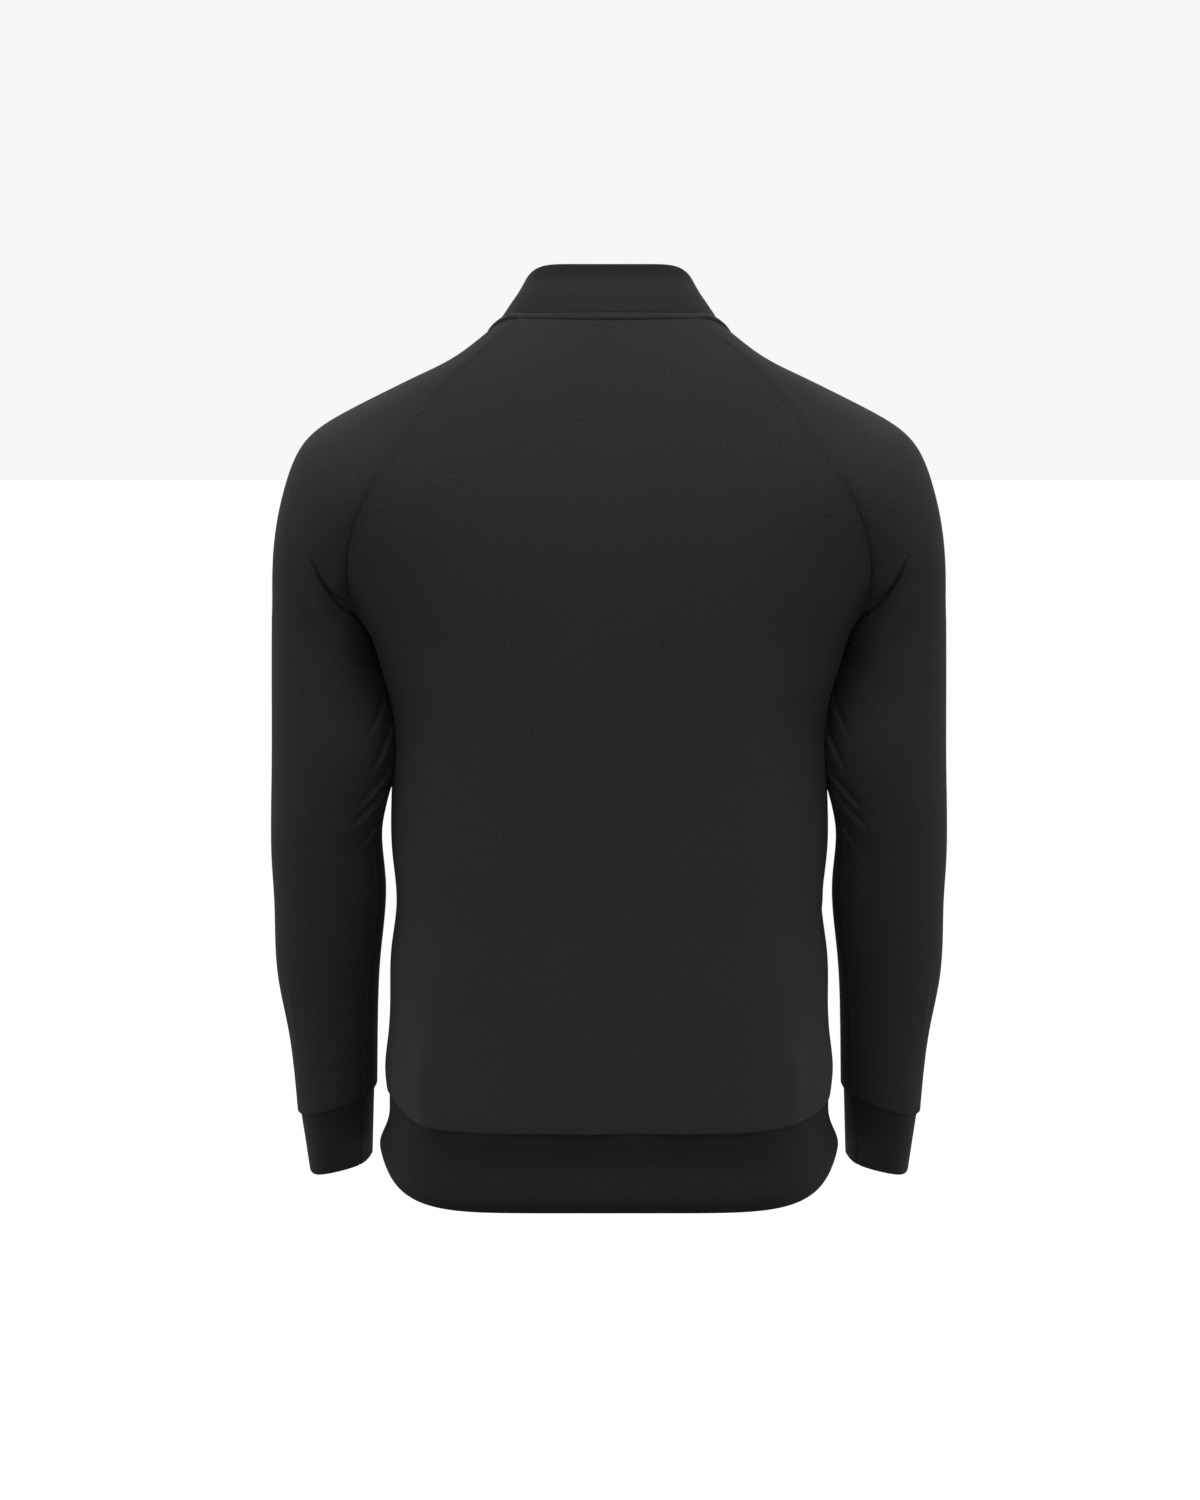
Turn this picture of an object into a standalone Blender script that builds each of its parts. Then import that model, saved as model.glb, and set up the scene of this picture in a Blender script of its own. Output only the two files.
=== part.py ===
"""Long-sleeved raglan training top with a stand collar, in its hollow worn form.

Units are metres and +Z is up. The wearer faces -Y, so the back panel is on the +Y side and the
wearer's left is +X. The origin is the middle of the neck opening at the height of the two points
where the collar meets the shoulder line.
"""
import math
from collections import namedtuple

import bmesh
import bpy
import numpy as np

# ---------------------------------------------------------------- driving sizes
SEAM_GAP = 0.0004          # clearance left between two pieces along a seam
UNDERARM_GAP = 0.0008      # between the sleeve and the body it hangs against
SIDE_GAP = 0.0008          # wider at the edges of the panels, where the cloth turns a corner
PANEL_WALL = 0.0016        # double-knit cloth of the body and sleeves
RIB_WALL = 0.0028          # folded, doubled rib of the collar, hem band and cuffs

NAPE_HEIGHT = 0.0132       # middle of the back neck seam
THROAT_HEIGHT = -0.0620    # middle of the front neck seam
HEM_SEAM_HEIGHT = -0.5940  # panels end and the hem band begins

BAND_INSET = 0.0020        # the hem band starts this far inside the panels it is sewn to
CUFF_INSET = 0.075         # the cuff starts this share of its half width inside the sleeve

# Rows and columns of faces in each piece
ROWS_BELOW_ARMPIT = 15
ROWS_ABOVE_ARMPIT = 12
HALF_PANEL_COLUMNS = 8
HALF_SLEEVE_COLUMNS = 9
SLEEVE_ROWS = 15
COLLAR_ROWS = 3
CUFF_ROWS = 2

# Colours as linear red, green and blue
CLOTH = (0.021, 0.021, 0.022)
RIB = (0.016, 0.016, 0.017)
CLOTH_ROUGHNESS = 0.85

# ---------------------------------------------------------------- tables
# Side seam of the body: half the width between the two side seams at each height.
SideSeam = namedtuple("SideSeam", "height half_width")
SIDE_SEAM = (
    SideSeam(-0.5940, 0.1742),
    SideSeam(-0.5760, 0.1757),
    SideSeam(-0.5500, 0.1731),
    SideSeam(-0.5200, 0.1710),
    SideSeam(-0.4800, 0.1697),
    SideSeam(-0.4410, 0.1650),
    SideSeam(-0.4000, 0.1682),
    SideSeam(-0.3650, 0.1691),
    SideSeam(-0.3250, 0.1662),
    SideSeam(-0.2865, 0.1676),
    SideSeam(-0.2500, 0.1757),
    SideSeam(-0.2270, 0.1820),
)

# Centre lines: how far the cloth stands out at the middle of a panel, and the two powers of
# the oval section there: flatness across the panel and roundness at the side (2 and 2 is an
# ellipse, a larger flatness is a flatter panel, a smaller roundness is a tighter side).
CentreLine = namedtuple("CentreLine", "height depth flatness roundness")
BACK_LINE = (
    CentreLine(-0.5940, 0.1190, 6.6, 1.20),
    CentreLine(-0.5000, 0.1165, 4.8, 1.60),
    CentreLine(-0.4000, 0.1155, 3.8, 1.90),
    CentreLine(-0.3000, 0.1175, 3.3, 2.00),
    CentreLine(-0.2265, 0.1200, 2.9, 2.20),
    CentreLine(-0.1600, 0.1185, 2.7, 2.40),
    CentreLine(-0.1000, 0.1090, 2.5, 2.50),
    CentreLine(-0.0500, 0.0940, 2.4, 2.40),
    CentreLine(-0.0150, 0.0790, 2.3, 2.30),
    CentreLine(NAPE_HEIGHT, 0.0640, 2.2, 2.20),
)
FRONT_LINE = (
    CentreLine(-0.5940, 0.1170, 5.8, 1.30),
    CentreLine(-0.5000, 0.1180, 4.2, 1.65),
    CentreLine(-0.4000, 0.1205, 3.4, 1.90),
    CentreLine(-0.3000, 0.1250, 3.0, 2.00),
    CentreLine(-0.2265, 0.1270, 2.8, 2.20),
    CentreLine(-0.1600, 0.1220, 2.6, 2.40),
    CentreLine(-0.1100, 0.1060, 2.4, 2.40),
    CentreLine(THROAT_HEIGHT, 0.0780, 2.1, 2.10),
)

# Left raglan seams, from the neck to the armpit: one row for each section of the sleeve head.
SeamPoint = namedtuple("SeamPoint", "x depth height")
BACK_SEAM = (
    SeamPoint(0.0624, 0.0500, 0.0120),
    SeamPoint(0.0945, 0.0650, -0.0136),
    SeamPoint(0.1240, 0.0785, -0.0408),
    SeamPoint(0.1560, 0.0940, -0.0845),
    SeamPoint(0.1790, 0.0975, -0.1240),
    SeamPoint(0.1905, 0.0855, -0.1590),
    SeamPoint(0.1935, 0.0630, -0.1900),
    SeamPoint(0.1930, 0.0350, -0.2110),
    SeamPoint(0.1820, 0.0000, -0.2270),
)
FRONT_SEAM = (
    SeamPoint(0.0560, 0.0600, -0.0260),
    SeamPoint(0.0780, 0.0715, -0.0405),
    SeamPoint(0.1000, 0.0825, -0.0590),
    SeamPoint(0.1290, 0.0950, -0.0950),
    SeamPoint(0.1530, 0.0990, -0.1330),
    SeamPoint(0.1710, 0.0900, -0.1680),
    SeamPoint(0.1835, 0.0690, -0.1950),
    SeamPoint(0.1890, 0.0370, -0.2140),
    SeamPoint(0.1820, 0.0000, -0.2270),
)

# Sleeve sections: the outermost point of each (x, y, height), how far the cloth runs straight
# from the seam and at the outermost point, the heading with which it leaves the seam in
# degrees from +X towards its own side, and how free it is of the body panel's slope (0 to 1).
Section = namedtuple("Section", "x y height back_leave back_arrive front_leave front_arrive "
                                "heading rise free")
SLEEVE_HEAD = (
    Section(0.0880, -0.003, -0.0062, 0.017, 0.030, 0.020, 0.030, -30, 0.35, 0.0),
    Section(0.1160, -0.001, -0.0234, 0.019, 0.040, 0.025, 0.041, -25, 0.15, 0.0),
    Section(0.1490, 0.000, -0.0385, 0.022, 0.050, 0.030, 0.050, -20, 0.08, 0.0),
    Section(0.1960, 0.000, -0.0600, 0.028, 0.058, 0.036, 0.058, -12, 0.00, 0.0),
    Section(0.2300, 0.000, -0.0843, 0.032, 0.064, 0.040, 0.064, -4, 0.00, 0.15),
    Section(0.2450, 0.000, -0.1170, 0.040, 0.076, 0.046, 0.074, 12, 0.00, 0.6),
    Section(0.2518, 0.000, -0.1480, 0.046, 0.088, 0.052, 0.086, 37, 0.00, 1.0),
    Section(0.2554, 0.000, -0.1790, 0.064, 0.092, 0.066, 0.090, 63, 0.00, 1.0),
    Section(0.2568, 0.000, -0.2150, 0.090, 0.092, 0.088, 0.090, 90, 0.00, 1.0),
)

# Sleeve below the armpit: inner point (on the underarm seam), outer point and half depths.
Ring = namedtuple("Ring", "inner_x inner_y inner_height outer_x outer_y outer_height back front")
SLEEVE_RINGS = (
    Ring(0.1728, 0.003, -0.2620, 0.2577, 0.000, -0.2560, 0.068, 0.067),
    Ring(0.1659, 0.014, -0.3000, 0.2586, -0.001, -0.3000, 0.064, 0.064),
    Ring(0.1658, 0.014, -0.3400, 0.2598, -0.002, -0.3420, 0.060, 0.061),
    Ring(0.1752, 0.004, -0.3850, 0.2615, -0.005, -0.4000, 0.055, 0.056),
    Ring(0.1729, -0.008, -0.4330, 0.2605, -0.010, -0.4450, 0.052, 0.053),
    Ring(0.1789, -0.021, -0.4900, 0.2603, -0.019, -0.5000, 0.048, 0.049),
    Ring(0.1826, -0.033, -0.5450, 0.2530, -0.030, -0.5550, 0.044, 0.045),
    Ring(0.1852, -0.046, -0.6020, 0.2482, -0.038, -0.6200, 0.040, 0.041),
)
CUFF_HEM = Ring(0.1880, -0.060, -0.6590, 0.2400, -0.050, -0.6770, 0.036, 0.037)

# Hem band: how far its wall stands outside the panels' bottom edge at each drop from the seam.
BandRow = namedtuple("BandRow", "drop flare")
HEM_BAND = (
    BandRow(0.0000, -BAND_INSET),
    BandRow(0.0200, -0.0016),
    BandRow(0.0420, 0.0062),
    BandRow(0.0605, 0.0046),
)
HEM_SIDE_SHARE = 0.85      # height of the band at the side seams, as a share of its full height
HEM_SIDE_POWER = 18.0      # how suddenly it loses height toward the sides

# Collar: top edge as an oval, its height at the back, side and front.
COLLAR_HALF_WIDTH = 0.0610
COLLAR_BACK_DEPTH = 0.0450
COLLAR_FRONT_DEPTH = 0.0540
COLLAR_BACK_HEIGHT = 0.0482
COLLAR_SIDE_HEIGHT = 0.0367
COLLAR_FRONT_HEIGHT = -0.0150
COLLAR_SQUARENESS = 2.5
COLLAR_BACK_LEVEL = 12.0   # how long the top edge stays level before it drops at the sides
COLLAR_FRONT_DROP = 1.6    # how suddenly the top edge drops toward the front
COLLAR_UPRIGHT = 0.05      # how much steeper the collar stands at its top than at its base

# Armpit tuck: the arm presses the side of the body in around the top of the side seam.
TUCK_DEPTH = 0.0080
TUCK_HALF_HEIGHT = 0.036
TUCK_HALF_WIDTH = 0.024

# The sleeve's sections are averaged with their neighbours around the armpit, so that the
# underarm rounds off instead of creasing. All in section numbers.
SOFTENING_SPREAD = 0.60    # standard deviation of the averaging
SOFTENING_WINDOW = 2       # how many of these it reaches to each side
SOFTENING_STEPS = 9
SOFTENING_REACH = 1.6      # how far from the armpit it acts
SOFTENING_EDGE = 0.2       # share of the section beside each seam over which it fades out

CURVE_POINTS = 120         # points of a dense line that a row of the mesh is read from
SECTION_STEP = 0.05        # step in section number for reading a seam's direction
SEAM_DEPTH_LEAST = 0.004   # the panel's slope is read no nearer than this to the side seam

WIDTH_SECTIONS = 3         # near the armpit this many sections take the body's smooth half width
FULL_HALF = 4 / 3          # reach of a cubic that makes half an oval, for a depth of 1
ARMPIT = len(BACK_SEAM) - 1                    # section number of the armpit
WRIST = ARMPIT + len(SLEEVE_RINGS)             # section number of the cuff seam


# ---------------------------------------------------------------- curves
def spline(knots, values, at):
    """Natural cubic curve through values at knots, read at the places in at."""
    knots = np.asarray(knots, float)
    values = np.asarray(values, float)
    order = np.argsort(knots)
    knots = knots[order]
    values = values[order]
    at = np.asarray(at, float)
    gap = np.diff(knots)
    slope = (np.diff(values, axis=0).T / gap).T
    size = len(knots)
    system = np.eye(size)
    right = np.zeros_like(values)
    for i in range(1, size - 1):
        system[i, i - 1:i + 2] = gap[i - 1], 2 * (gap[i - 1] + gap[i]), gap[i]
        right[i] = 6 * (slope[i] - slope[i - 1])
    bend = np.linalg.solve(system, right)
    cell = np.clip(np.searchsorted(knots, at) - 1, 0, size - 2)
    step = gap[cell]
    before = at - knots[cell]
    after = knots[cell + 1] - at
    if values.ndim > 1:
        step, before, after = (part[..., None] for part in (step, before, after))
    return (bend[cell] * after ** 3 / (6 * step) + bend[cell + 1] * before ** 3 / (6 * step)
            + (values[cell] / step - bend[cell] * step / 6) * after
            + (values[cell + 1] / step - bend[cell + 1] * step / 6) * before)


def column(table, name):
    return np.array([getattr(row, name) for row in table])


def ease(share):
    """Smooth step from 0 to 1."""
    share = np.clip(share, 0, 1)
    return share * share * (3 - 2 * share)


def unit(vector):
    return vector / np.linalg.norm(vector)


def evenly(points, count):
    """Read count + 1 points off a dense line, evenly spaced along it."""
    steps = np.linalg.norm(np.diff(points, axis=0), axis=1)
    run = np.concatenate(([0.0], np.cumsum(steps)))
    places = np.linspace(0, run[-1], count + 1)
    return np.stack([np.interp(places, run, points[:, axis]) for axis in range(3)], axis=1)


# ---------------------------------------------------------------- body panels
Panel = namedtuple("Panel", "seam line top_height side")
BACK = Panel(BACK_SEAM, BACK_LINE, NAPE_HEIGHT, 1)
FRONT = Panel(FRONT_SEAM, FRONT_LINE, THROAT_HEIGHT, -1)


def tuck(depth, height):
    """How far the armpit presses a point of the body in from the side."""
    return (TUCK_DEPTH * np.exp(-((height - SIDE_SEAM[-1].height) / TUCK_HALF_HEIGHT) ** 2)
            * np.exp(-(depth / TUCK_HALF_WIDTH) ** 2))


def centre_values(panel, height):
    """Depth, flatness and roundness of a panel's oval section at a height."""
    values = np.array([row[1:] for row in panel.line])
    return spline(column(panel.line, "height"), values, height)


def oval_share(oval, depth):
    """Share of its half width that an oval has left at a depth."""
    full_depth, flatness, roundness = oval
    share = np.clip(depth / full_depth, 0, 0.999)
    return (1 - share ** roundness) ** (1 / flatness)


def row_height(panel, section, edge_height):
    """Height at the centre line of the row that ends at a raglan seam point."""
    rise = panel.top_height - panel.seam[0].height
    return edge_height + rise * (1 - section / ARMPIT) ** 2


def oval_widths(panel):
    """Centre heights and half widths of the panel's ovals, at the side seam and raglan rows."""
    heights = []
    widths = []
    for row in SIDE_SEAM:
        heights.append(row.height)
        widths.append(row.half_width + tuck(0.0, row.height))
    for section, point in reversed(list(enumerate(panel.seam[:-1]))):
        height = row_height(panel, section, point.height)
        oval = centre_values(panel, height)
        heights.append(height)
        widths.append((point.x + tuck(point.depth, point.height)) / oval_share(oval, point.depth))
    return heights, widths


def panel_row(panel, section=None, height=None):
    """Edge point, centre height, oval and oval half width of a row: by height below the
    armpit, by section number above it."""
    heights, widths = oval_widths(panel)
    if section is None:
        depth = 0.0
        centre_height = height
    else:
        x, depth, height = spline(np.arange(ARMPIT + 1), np.array(panel.seam), section)
        depth = max(depth, 0.0)
        centre_height = row_height(panel, section, height)
    oval = centre_values(panel, centre_height)
    reach = float(spline(heights, widths, centre_height))
    if section is not None:
        exact = (x + tuck(depth, height)) / oval_share(oval, depth)
        reach = exact + (reach - exact) * ease(section - (ARMPIT - WIDTH_SECTIONS))
    x = reach * oval_share(oval, depth) - tuck(depth, height)
    return np.array([x, depth, height]), centre_height, oval, reach


def half_row(row, count):
    """Points of a panel row from its edge to the centre line, depth as a positive number."""
    edge, centre_height, (depth, flatness, roundness), reach = row
    untucked = edge[0] + tuck(edge[1], edge[2])
    turn = np.linspace(math.asin(min(untucked / reach, 1.0)), 0, CURVE_POINTS)
    x = reach * np.sin(turn)
    y = depth * np.maximum(1 - (x / reach) ** flatness, 0) ** (1 / roundness)
    y[0] = edge[1]
    z = centre_height + (edge[2] - centre_height) * (x / x[0]) ** 2
    return evenly(np.stack([x - tuck(y, z), y, z], axis=1), count)


def head_sections():
    """Section numbers from the neck to the armpit, shared by the sleeves and the panels."""
    return np.linspace(0, ARMPIT, ROWS_ABOVE_ARMPIT + 1)


def panel_grid(panel):
    """Whole panel from hem seam to neck, columns anticlockwise as seen from above."""
    heights = np.linspace(HEM_SEAM_HEIGHT, SIDE_SEAM[-1].height, ROWS_BELOW_ARMPIT + 1)[:-1]
    rows = [panel_row(panel, height=height) for height in heights]
    rows += [panel_row(panel, section=section) for section in head_sections()[::-1]]
    half = np.array([half_row(row, HALF_PANEL_COLUMNS) for row in rows])
    grid = np.concatenate([half, half[:, -2::-1] * (-1, 1, 1)], axis=1)
    if panel.side < 0:
        grid = grid[:, ::-1] * (1, -1, 1)
    return grid


# ---------------------------------------------------------------- sleeves
def panel_normal(panel, section):
    """Outward direction of a body panel at a raglan seam point."""
    edge, centre_height, (depth, flatness, roundness), reach = panel_row(panel, section)
    share = max(edge[1], SEAM_DEPTH_LEAST) / depth
    fall = (-depth / reach * flatness / roundness
            * (edge[0] / reach) ** (flatness - 1) / share ** (roundness - 1))
    along_row = np.array([1.0, panel.side * fall, 2 * (edge[2] - centre_height) / edge[0]])
    before = panel_row(panel, max(section - SECTION_STEP, 0))[0]
    after = panel_row(panel, min(section + SECTION_STEP, ARMPIT))[0]
    normal = unit(np.cross(along_row, (before - after) * (1, panel.side, 1)))
    return normal * math.copysign(1, normal[1] * panel.side)


def outer_values(section):
    """Outer point and reaches at a section number, smooth over the whole sleeve."""
    rows = [row[:-1] for row in SLEEVE_HEAD]
    for ring in SLEEVE_RINGS:
        back = ring.back * FULL_HALF
        front = ring.front * FULL_HALF
        rows.append((ring.outer_x, ring.outer_y, ring.outer_height, back, back, front, front,
                     90, 0))
    return spline(np.arange(len(rows)), np.array(rows), section)


def inner_point(section):
    """Point of the left underarm seam at a section number from the armpit down."""
    rows = [(BACK_SEAM[-1].x, 0.0, BACK_SEAM[-1].height)]
    rows += [(ring.inner_x, ring.inner_y, ring.inner_height) for ring in SLEEVE_RINGS]
    return spline(np.arange(ARMPIT, WRIST + 1), np.array(rows), section)


def arc(start, leave, arrive, end):
    """Cubic from start to end, leave and arrive being how it runs on at each of them."""
    along = np.linspace(0, 1, CURVE_POINTS)[:, None]
    rest = 1 - along
    points = (start * rest ** 3 + 3 * (start + leave) * rest ** 2 * along
              + 3 * (end + arrive) * rest * along ** 2 + end * along ** 3)
    return evenly(points, HALF_SLEEVE_COLUMNS)


def half_section(section, panel):
    """Points of half a sleeve section, from its seam to the outermost point."""
    values = outer_values(section)
    outer = values[:3]
    leave, arrive = values[3:5] if panel.side > 0 else values[5:7]
    heading = math.radians(min(values[7], 90.0))
    across = np.array([0.0, float(panel.side), 0.0])
    over = unit(across + (0.0, 0.0, panel.side * values[8]))
    if section < ARMPIT:
        start = panel_row(panel, section)[0] * (1, panel.side, 1)
        free = float(spline(np.arange(ARMPIT + 1), column(SLEEVE_HEAD, "free"), section))
        free = min(max(free, 0.0), 1.0)
        normal = panel_normal(panel, section)
        toward = outer - start
        tangent = unit(toward - normal * (toward @ normal))
    else:
        start = inner_point(section)
        free = 1.0
        toward = outer - start
        tangent = across
    own = unit(toward * (1, 0, 1)) * math.cos(heading) + across * math.sin(heading)
    direction = unit(tangent * (1 - free) + own * free)
    start = start + np.array([UNDERARM_GAP * free, 0.0, 0.0])
    return arc(start, direction * leave, over * arrive, outer)


def raw_section(section):
    """Section of the left sleeve before softening: back seam, outermost point, front seam."""
    return np.concatenate([half_section(section, BACK), half_section(section, FRONT)[-2::-1]])


def sleeve_section(section):
    """Section of the left sleeve, softened around the armpit everywhere but at the seams."""
    exact = raw_section(section)
    near = math.exp(-((section - ARMPIT) / SOFTENING_REACH) ** 2)
    steps = np.linspace(-SOFTENING_WINDOW, SOFTENING_WINDOW, SOFTENING_STEPS)
    shares = np.exp(-steps ** 2 / 2)
    shares = shares / shares.sum()
    soft = sum(share * raw_section(section + step * SOFTENING_SPREAD)
               for step, share in zip(steps, shares))
    place = np.linspace(0, 1, len(exact))
    inward = ease(np.minimum(place, 1 - place) / SOFTENING_EDGE)
    return exact + (soft - exact) * (near * inward)[:, None]


def sleeve_grid():
    """Left sleeve from the neck to the cuff seam."""
    lower = np.linspace(ARMPIT, WRIST, SLEEVE_ROWS + 1)[1:]
    sections = np.concatenate([head_sections(), lower])
    return np.array([sleeve_section(section) for section in sections])


def ring_points(ring):
    """Points of one closed section given by its inner and outer point."""
    inner = np.array([ring.inner_x, ring.inner_y, ring.inner_height])
    outer = np.array([ring.outer_x, ring.outer_y, ring.outer_height])
    back = np.array([0.0, ring.back * FULL_HALF, 0.0])
    front = np.array([0.0, -ring.front * FULL_HALF, 0.0])
    return np.concatenate([arc(inner, back, back, outer), arc(inner, front, front, outer)[-2::-1]])


def cuff_grid(sleeve):
    """Left cuff, from just below the sleeve's end to its own folded edge."""
    centre = sleeve[-1].mean(axis=0)
    top = sleeve[-1] + (centre - sleeve[-1]) * CUFF_INSET - (0, 0, SEAM_GAP)
    bottom = ring_points(CUFF_HEM)
    return np.array([top + (bottom - top) * share for share in np.linspace(0, 1, CUFF_ROWS + 1)])


# ---------------------------------------------------------------- collar and hem band
def neck_ring(back, front, sleeve):
    """Neck edge of the body and sleeves, anticlockwise all round from the left raglan seam."""
    left_arc = sleeve[0]
    right_arc = left_arc * (-1, 1, 1)
    return np.concatenate([back[-1], right_arc[1:], front[-1][1:], left_arc[::-1][1:]])


def collar_grid(base):
    """Stand collar from the neck edge up to its folded top."""
    turn = np.arctan2(base[:, 1] / COLLAR_BACK_DEPTH, base[:, 0] / COLLAR_HALF_WIDTH)
    cosine = np.cos(turn)
    sine = np.sin(turn)
    stretch = (np.abs(cosine) ** COLLAR_SQUARENESS
               + np.abs(sine) ** COLLAR_SQUARENESS) ** (-1 / COLLAR_SQUARENESS)
    depth = np.where(sine > 0, COLLAR_BACK_DEPTH, COLLAR_FRONT_DEPTH)
    across = cosine * stretch
    behind = (COLLAR_BACK_HEIGHT
              - (COLLAR_BACK_HEIGHT - COLLAR_SIDE_HEIGHT) * np.abs(across) ** COLLAR_BACK_LEVEL)
    ahead = (COLLAR_SIDE_HEIGHT
             - (COLLAR_SIDE_HEIGHT - COLLAR_FRONT_HEIGHT) * np.abs(sine) ** COLLAR_FRONT_DROP)
    top = np.stack([COLLAR_HALF_WIDTH * across, depth * sine * stretch,
                    np.where(sine > 0, behind, ahead)], axis=1)
    base = base + (0, 0, SEAM_GAP)
    rows = []
    for share in np.linspace(0, 1, COLLAR_ROWS + 1):
        lean = share * (1 + COLLAR_UPRIGHT * (1 - share))
        rows.append(base + (top - base) * (lean, lean, share))
    return np.array(rows)


def hem_band_grid(back, front):
    """Hem band, from its lower folded edge up to the panels' bottom edge."""
    ring = np.concatenate([back[0], front[0][1:]])
    along = np.roll(ring[:-1], -1, axis=0) - np.roll(ring[:-1], 1, axis=0)
    along = np.concatenate([along, along[:1]])
    outward = np.stack([along[:, 1], -along[:, 0]], axis=1)
    outward = outward / np.linalg.norm(outward, axis=1)[:, None]
    side = np.abs(ring[:, 0]) / np.abs(ring[:, 0]).max()
    height_share = 1 - (1 - HEM_SIDE_SHARE) * side ** HEM_SIDE_POWER
    rows = []
    for row in HEM_BAND[::-1]:
        line = ring.copy()
        line[:, :2] += outward * row.flare
        line[:, 2] = HEM_SEAM_HEIGHT - SEAM_GAP - row.drop * height_share
        rows.append(line)
    return np.array(rows)


# ---------------------------------------------------------------- objects
def cloth_material(name, colour):
    material = bpy.data.materials.new(name)
    material.use_nodes = True
    shader = material.node_tree.nodes["Principled BSDF"]
    shader.inputs["Base Color"].default_value = (*colour, 1.0)
    shader.inputs["Roughness"].default_value = CLOTH_ROUGHNESS
    shader.inputs["Metallic"].default_value = 0.0
    material.diffuse_color = (*colour, 1.0)
    return material


def shrink(grid, first_row=False, last_row=False, ends=False):
    """Draw chosen edges of a grid back along the cloth, which leaves the gap at a seam."""
    grid = grid.copy()

    def toward(edge, inner, gap):
        step = inner - edge
        return edge + step / np.linalg.norm(step, axis=1)[:, None] * gap / 2

    if ends:
        grid[:, 0] = toward(grid[:, 0], grid[:, 1], SIDE_GAP)
        grid[:, -1] = toward(grid[:, -1], grid[:, -2], SIDE_GAP)
    if first_row:
        grid[0] = toward(grid[0], grid[1], SEAM_GAP)
    if last_row:
        grid[-1] = toward(grid[-1], grid[-2], SEAM_GAP)
    return grid


def add_shell(name, grid, wall, colour, closed_from=None):
    """One piece of cloth: a loft through the rows of grid, thickened inwards. From the row
    closed_from on, the last column is the first one again and the section is closed."""
    rows, columns = grid.shape[:2]
    if closed_from is None:
        closed_from = rows
    faces = []
    for r in range(rows - 1):
        for c in range(columns - 1):
            face = []
            for row, col in ((r, c), (r, c + 1), (r + 1, c + 1), (r + 1, c)):
                if row >= closed_from and col == columns - 1:
                    col = 0
                face.append(row * columns + col)
            faces.append(face)
    mesh = bpy.data.meshes.new(name)
    mesh.from_pydata(grid.reshape(-1, 3).tolist(), [], faces)
    build = bmesh.new()
    build.from_mesh(mesh)
    loose = [corner for corner in build.verts if not corner.link_faces]
    bmesh.ops.delete(build, geom=loose, context="VERTS")
    build.to_mesh(mesh)
    build.free()
    mesh.shade_smooth()
    mesh.materials.append(cloth_material(name, colour))
    piece = bpy.data.objects.new(name, mesh)
    garment.objects.link(piece)
    thicken = piece.modifiers.new("wall", "SOLIDIFY")
    thicken.thickness = wall
    thicken.offset = -1
    return piece


def mirrored(grid):
    """The same piece on the wearer's other side."""
    return grid[:, ::-1] * (-1, 1, 1)


for old in list(bpy.data.objects):
    bpy.data.objects.remove(old, do_unlink=True)
garment = bpy.data.collections.new("raglan_training_top")
bpy.context.scene.collection.children.link(garment)

back = panel_grid(BACK)
front = panel_grid(FRONT)
sleeve = sleeve_grid()
cuff = cuff_grid(sleeve)
collar = collar_grid(neck_ring(back, front, sleeve))
band = hem_band_grid(back, front)

add_shell("back", shrink(back, last_row=True, ends=True), PANEL_WALL, CLOTH)
add_shell("front", shrink(front, last_row=True, ends=True), PANEL_WALL, CLOTH)
head = slice(0, ROWS_ABOVE_ARMPIT)
sleeve = shrink(sleeve, first_row=True)
sleeve[head] = shrink(sleeve, ends=True)[head]
add_shell("sleeve_left", sleeve, PANEL_WALL, CLOTH, closed_from=ROWS_ABOVE_ARMPIT)
add_shell("sleeve_right", mirrored(sleeve), PANEL_WALL, CLOTH, closed_from=ROWS_ABOVE_ARMPIT)
add_shell("collar", collar, RIB_WALL, RIB, closed_from=0)
add_shell("hem_band", band, RIB_WALL, RIB, closed_from=0)
add_shell("cuff_left", cuff, RIB_WALL, RIB, closed_from=0)
add_shell("cuff_right", mirrored(cuff), RIB_WALL, RIB, closed_from=0)
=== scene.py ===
"""Visual model of a long-sleeved raglan training top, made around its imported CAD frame.

Units are metres and +Z is up. The wearer faces -Y, so the back panel is on the +Y side and the
wearer's left is +X. The sections follow the order in which the top is sewn together.
"""
import math
from collections import namedtuple

import bmesh
import bpy
import numpy as np
from mathutils import Matrix, Vector


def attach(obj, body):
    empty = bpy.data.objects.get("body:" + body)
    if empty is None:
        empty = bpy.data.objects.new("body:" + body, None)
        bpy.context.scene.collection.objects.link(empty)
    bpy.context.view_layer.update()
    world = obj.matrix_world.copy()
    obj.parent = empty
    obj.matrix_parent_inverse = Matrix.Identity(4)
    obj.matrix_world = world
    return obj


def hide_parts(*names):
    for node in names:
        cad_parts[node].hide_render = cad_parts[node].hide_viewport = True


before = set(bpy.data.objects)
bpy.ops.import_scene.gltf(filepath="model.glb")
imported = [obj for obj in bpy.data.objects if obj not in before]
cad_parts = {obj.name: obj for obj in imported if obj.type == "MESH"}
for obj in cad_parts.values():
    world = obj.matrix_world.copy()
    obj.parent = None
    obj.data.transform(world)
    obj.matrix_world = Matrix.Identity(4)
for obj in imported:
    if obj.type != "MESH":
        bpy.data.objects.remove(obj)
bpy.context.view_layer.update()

# ------------------------------------------------------------ back and front panels
# The body is two panels of fine double-knit polyester cloth, one back and one front. They are
# sewn together down the sides, and every edge turns in where it meets the next piece.
PANEL_WALL = 0.0014
NAPE_HEIGHT = 0.0132       # middle of the back neck seam
THROAT_HEIGHT = -0.0620    # middle of the front neck seam
HEM_SEAM_HEIGHT = -0.5940
ROW_STEP = 0.0028          # between rows of the knit mesh, away from the seams
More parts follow.
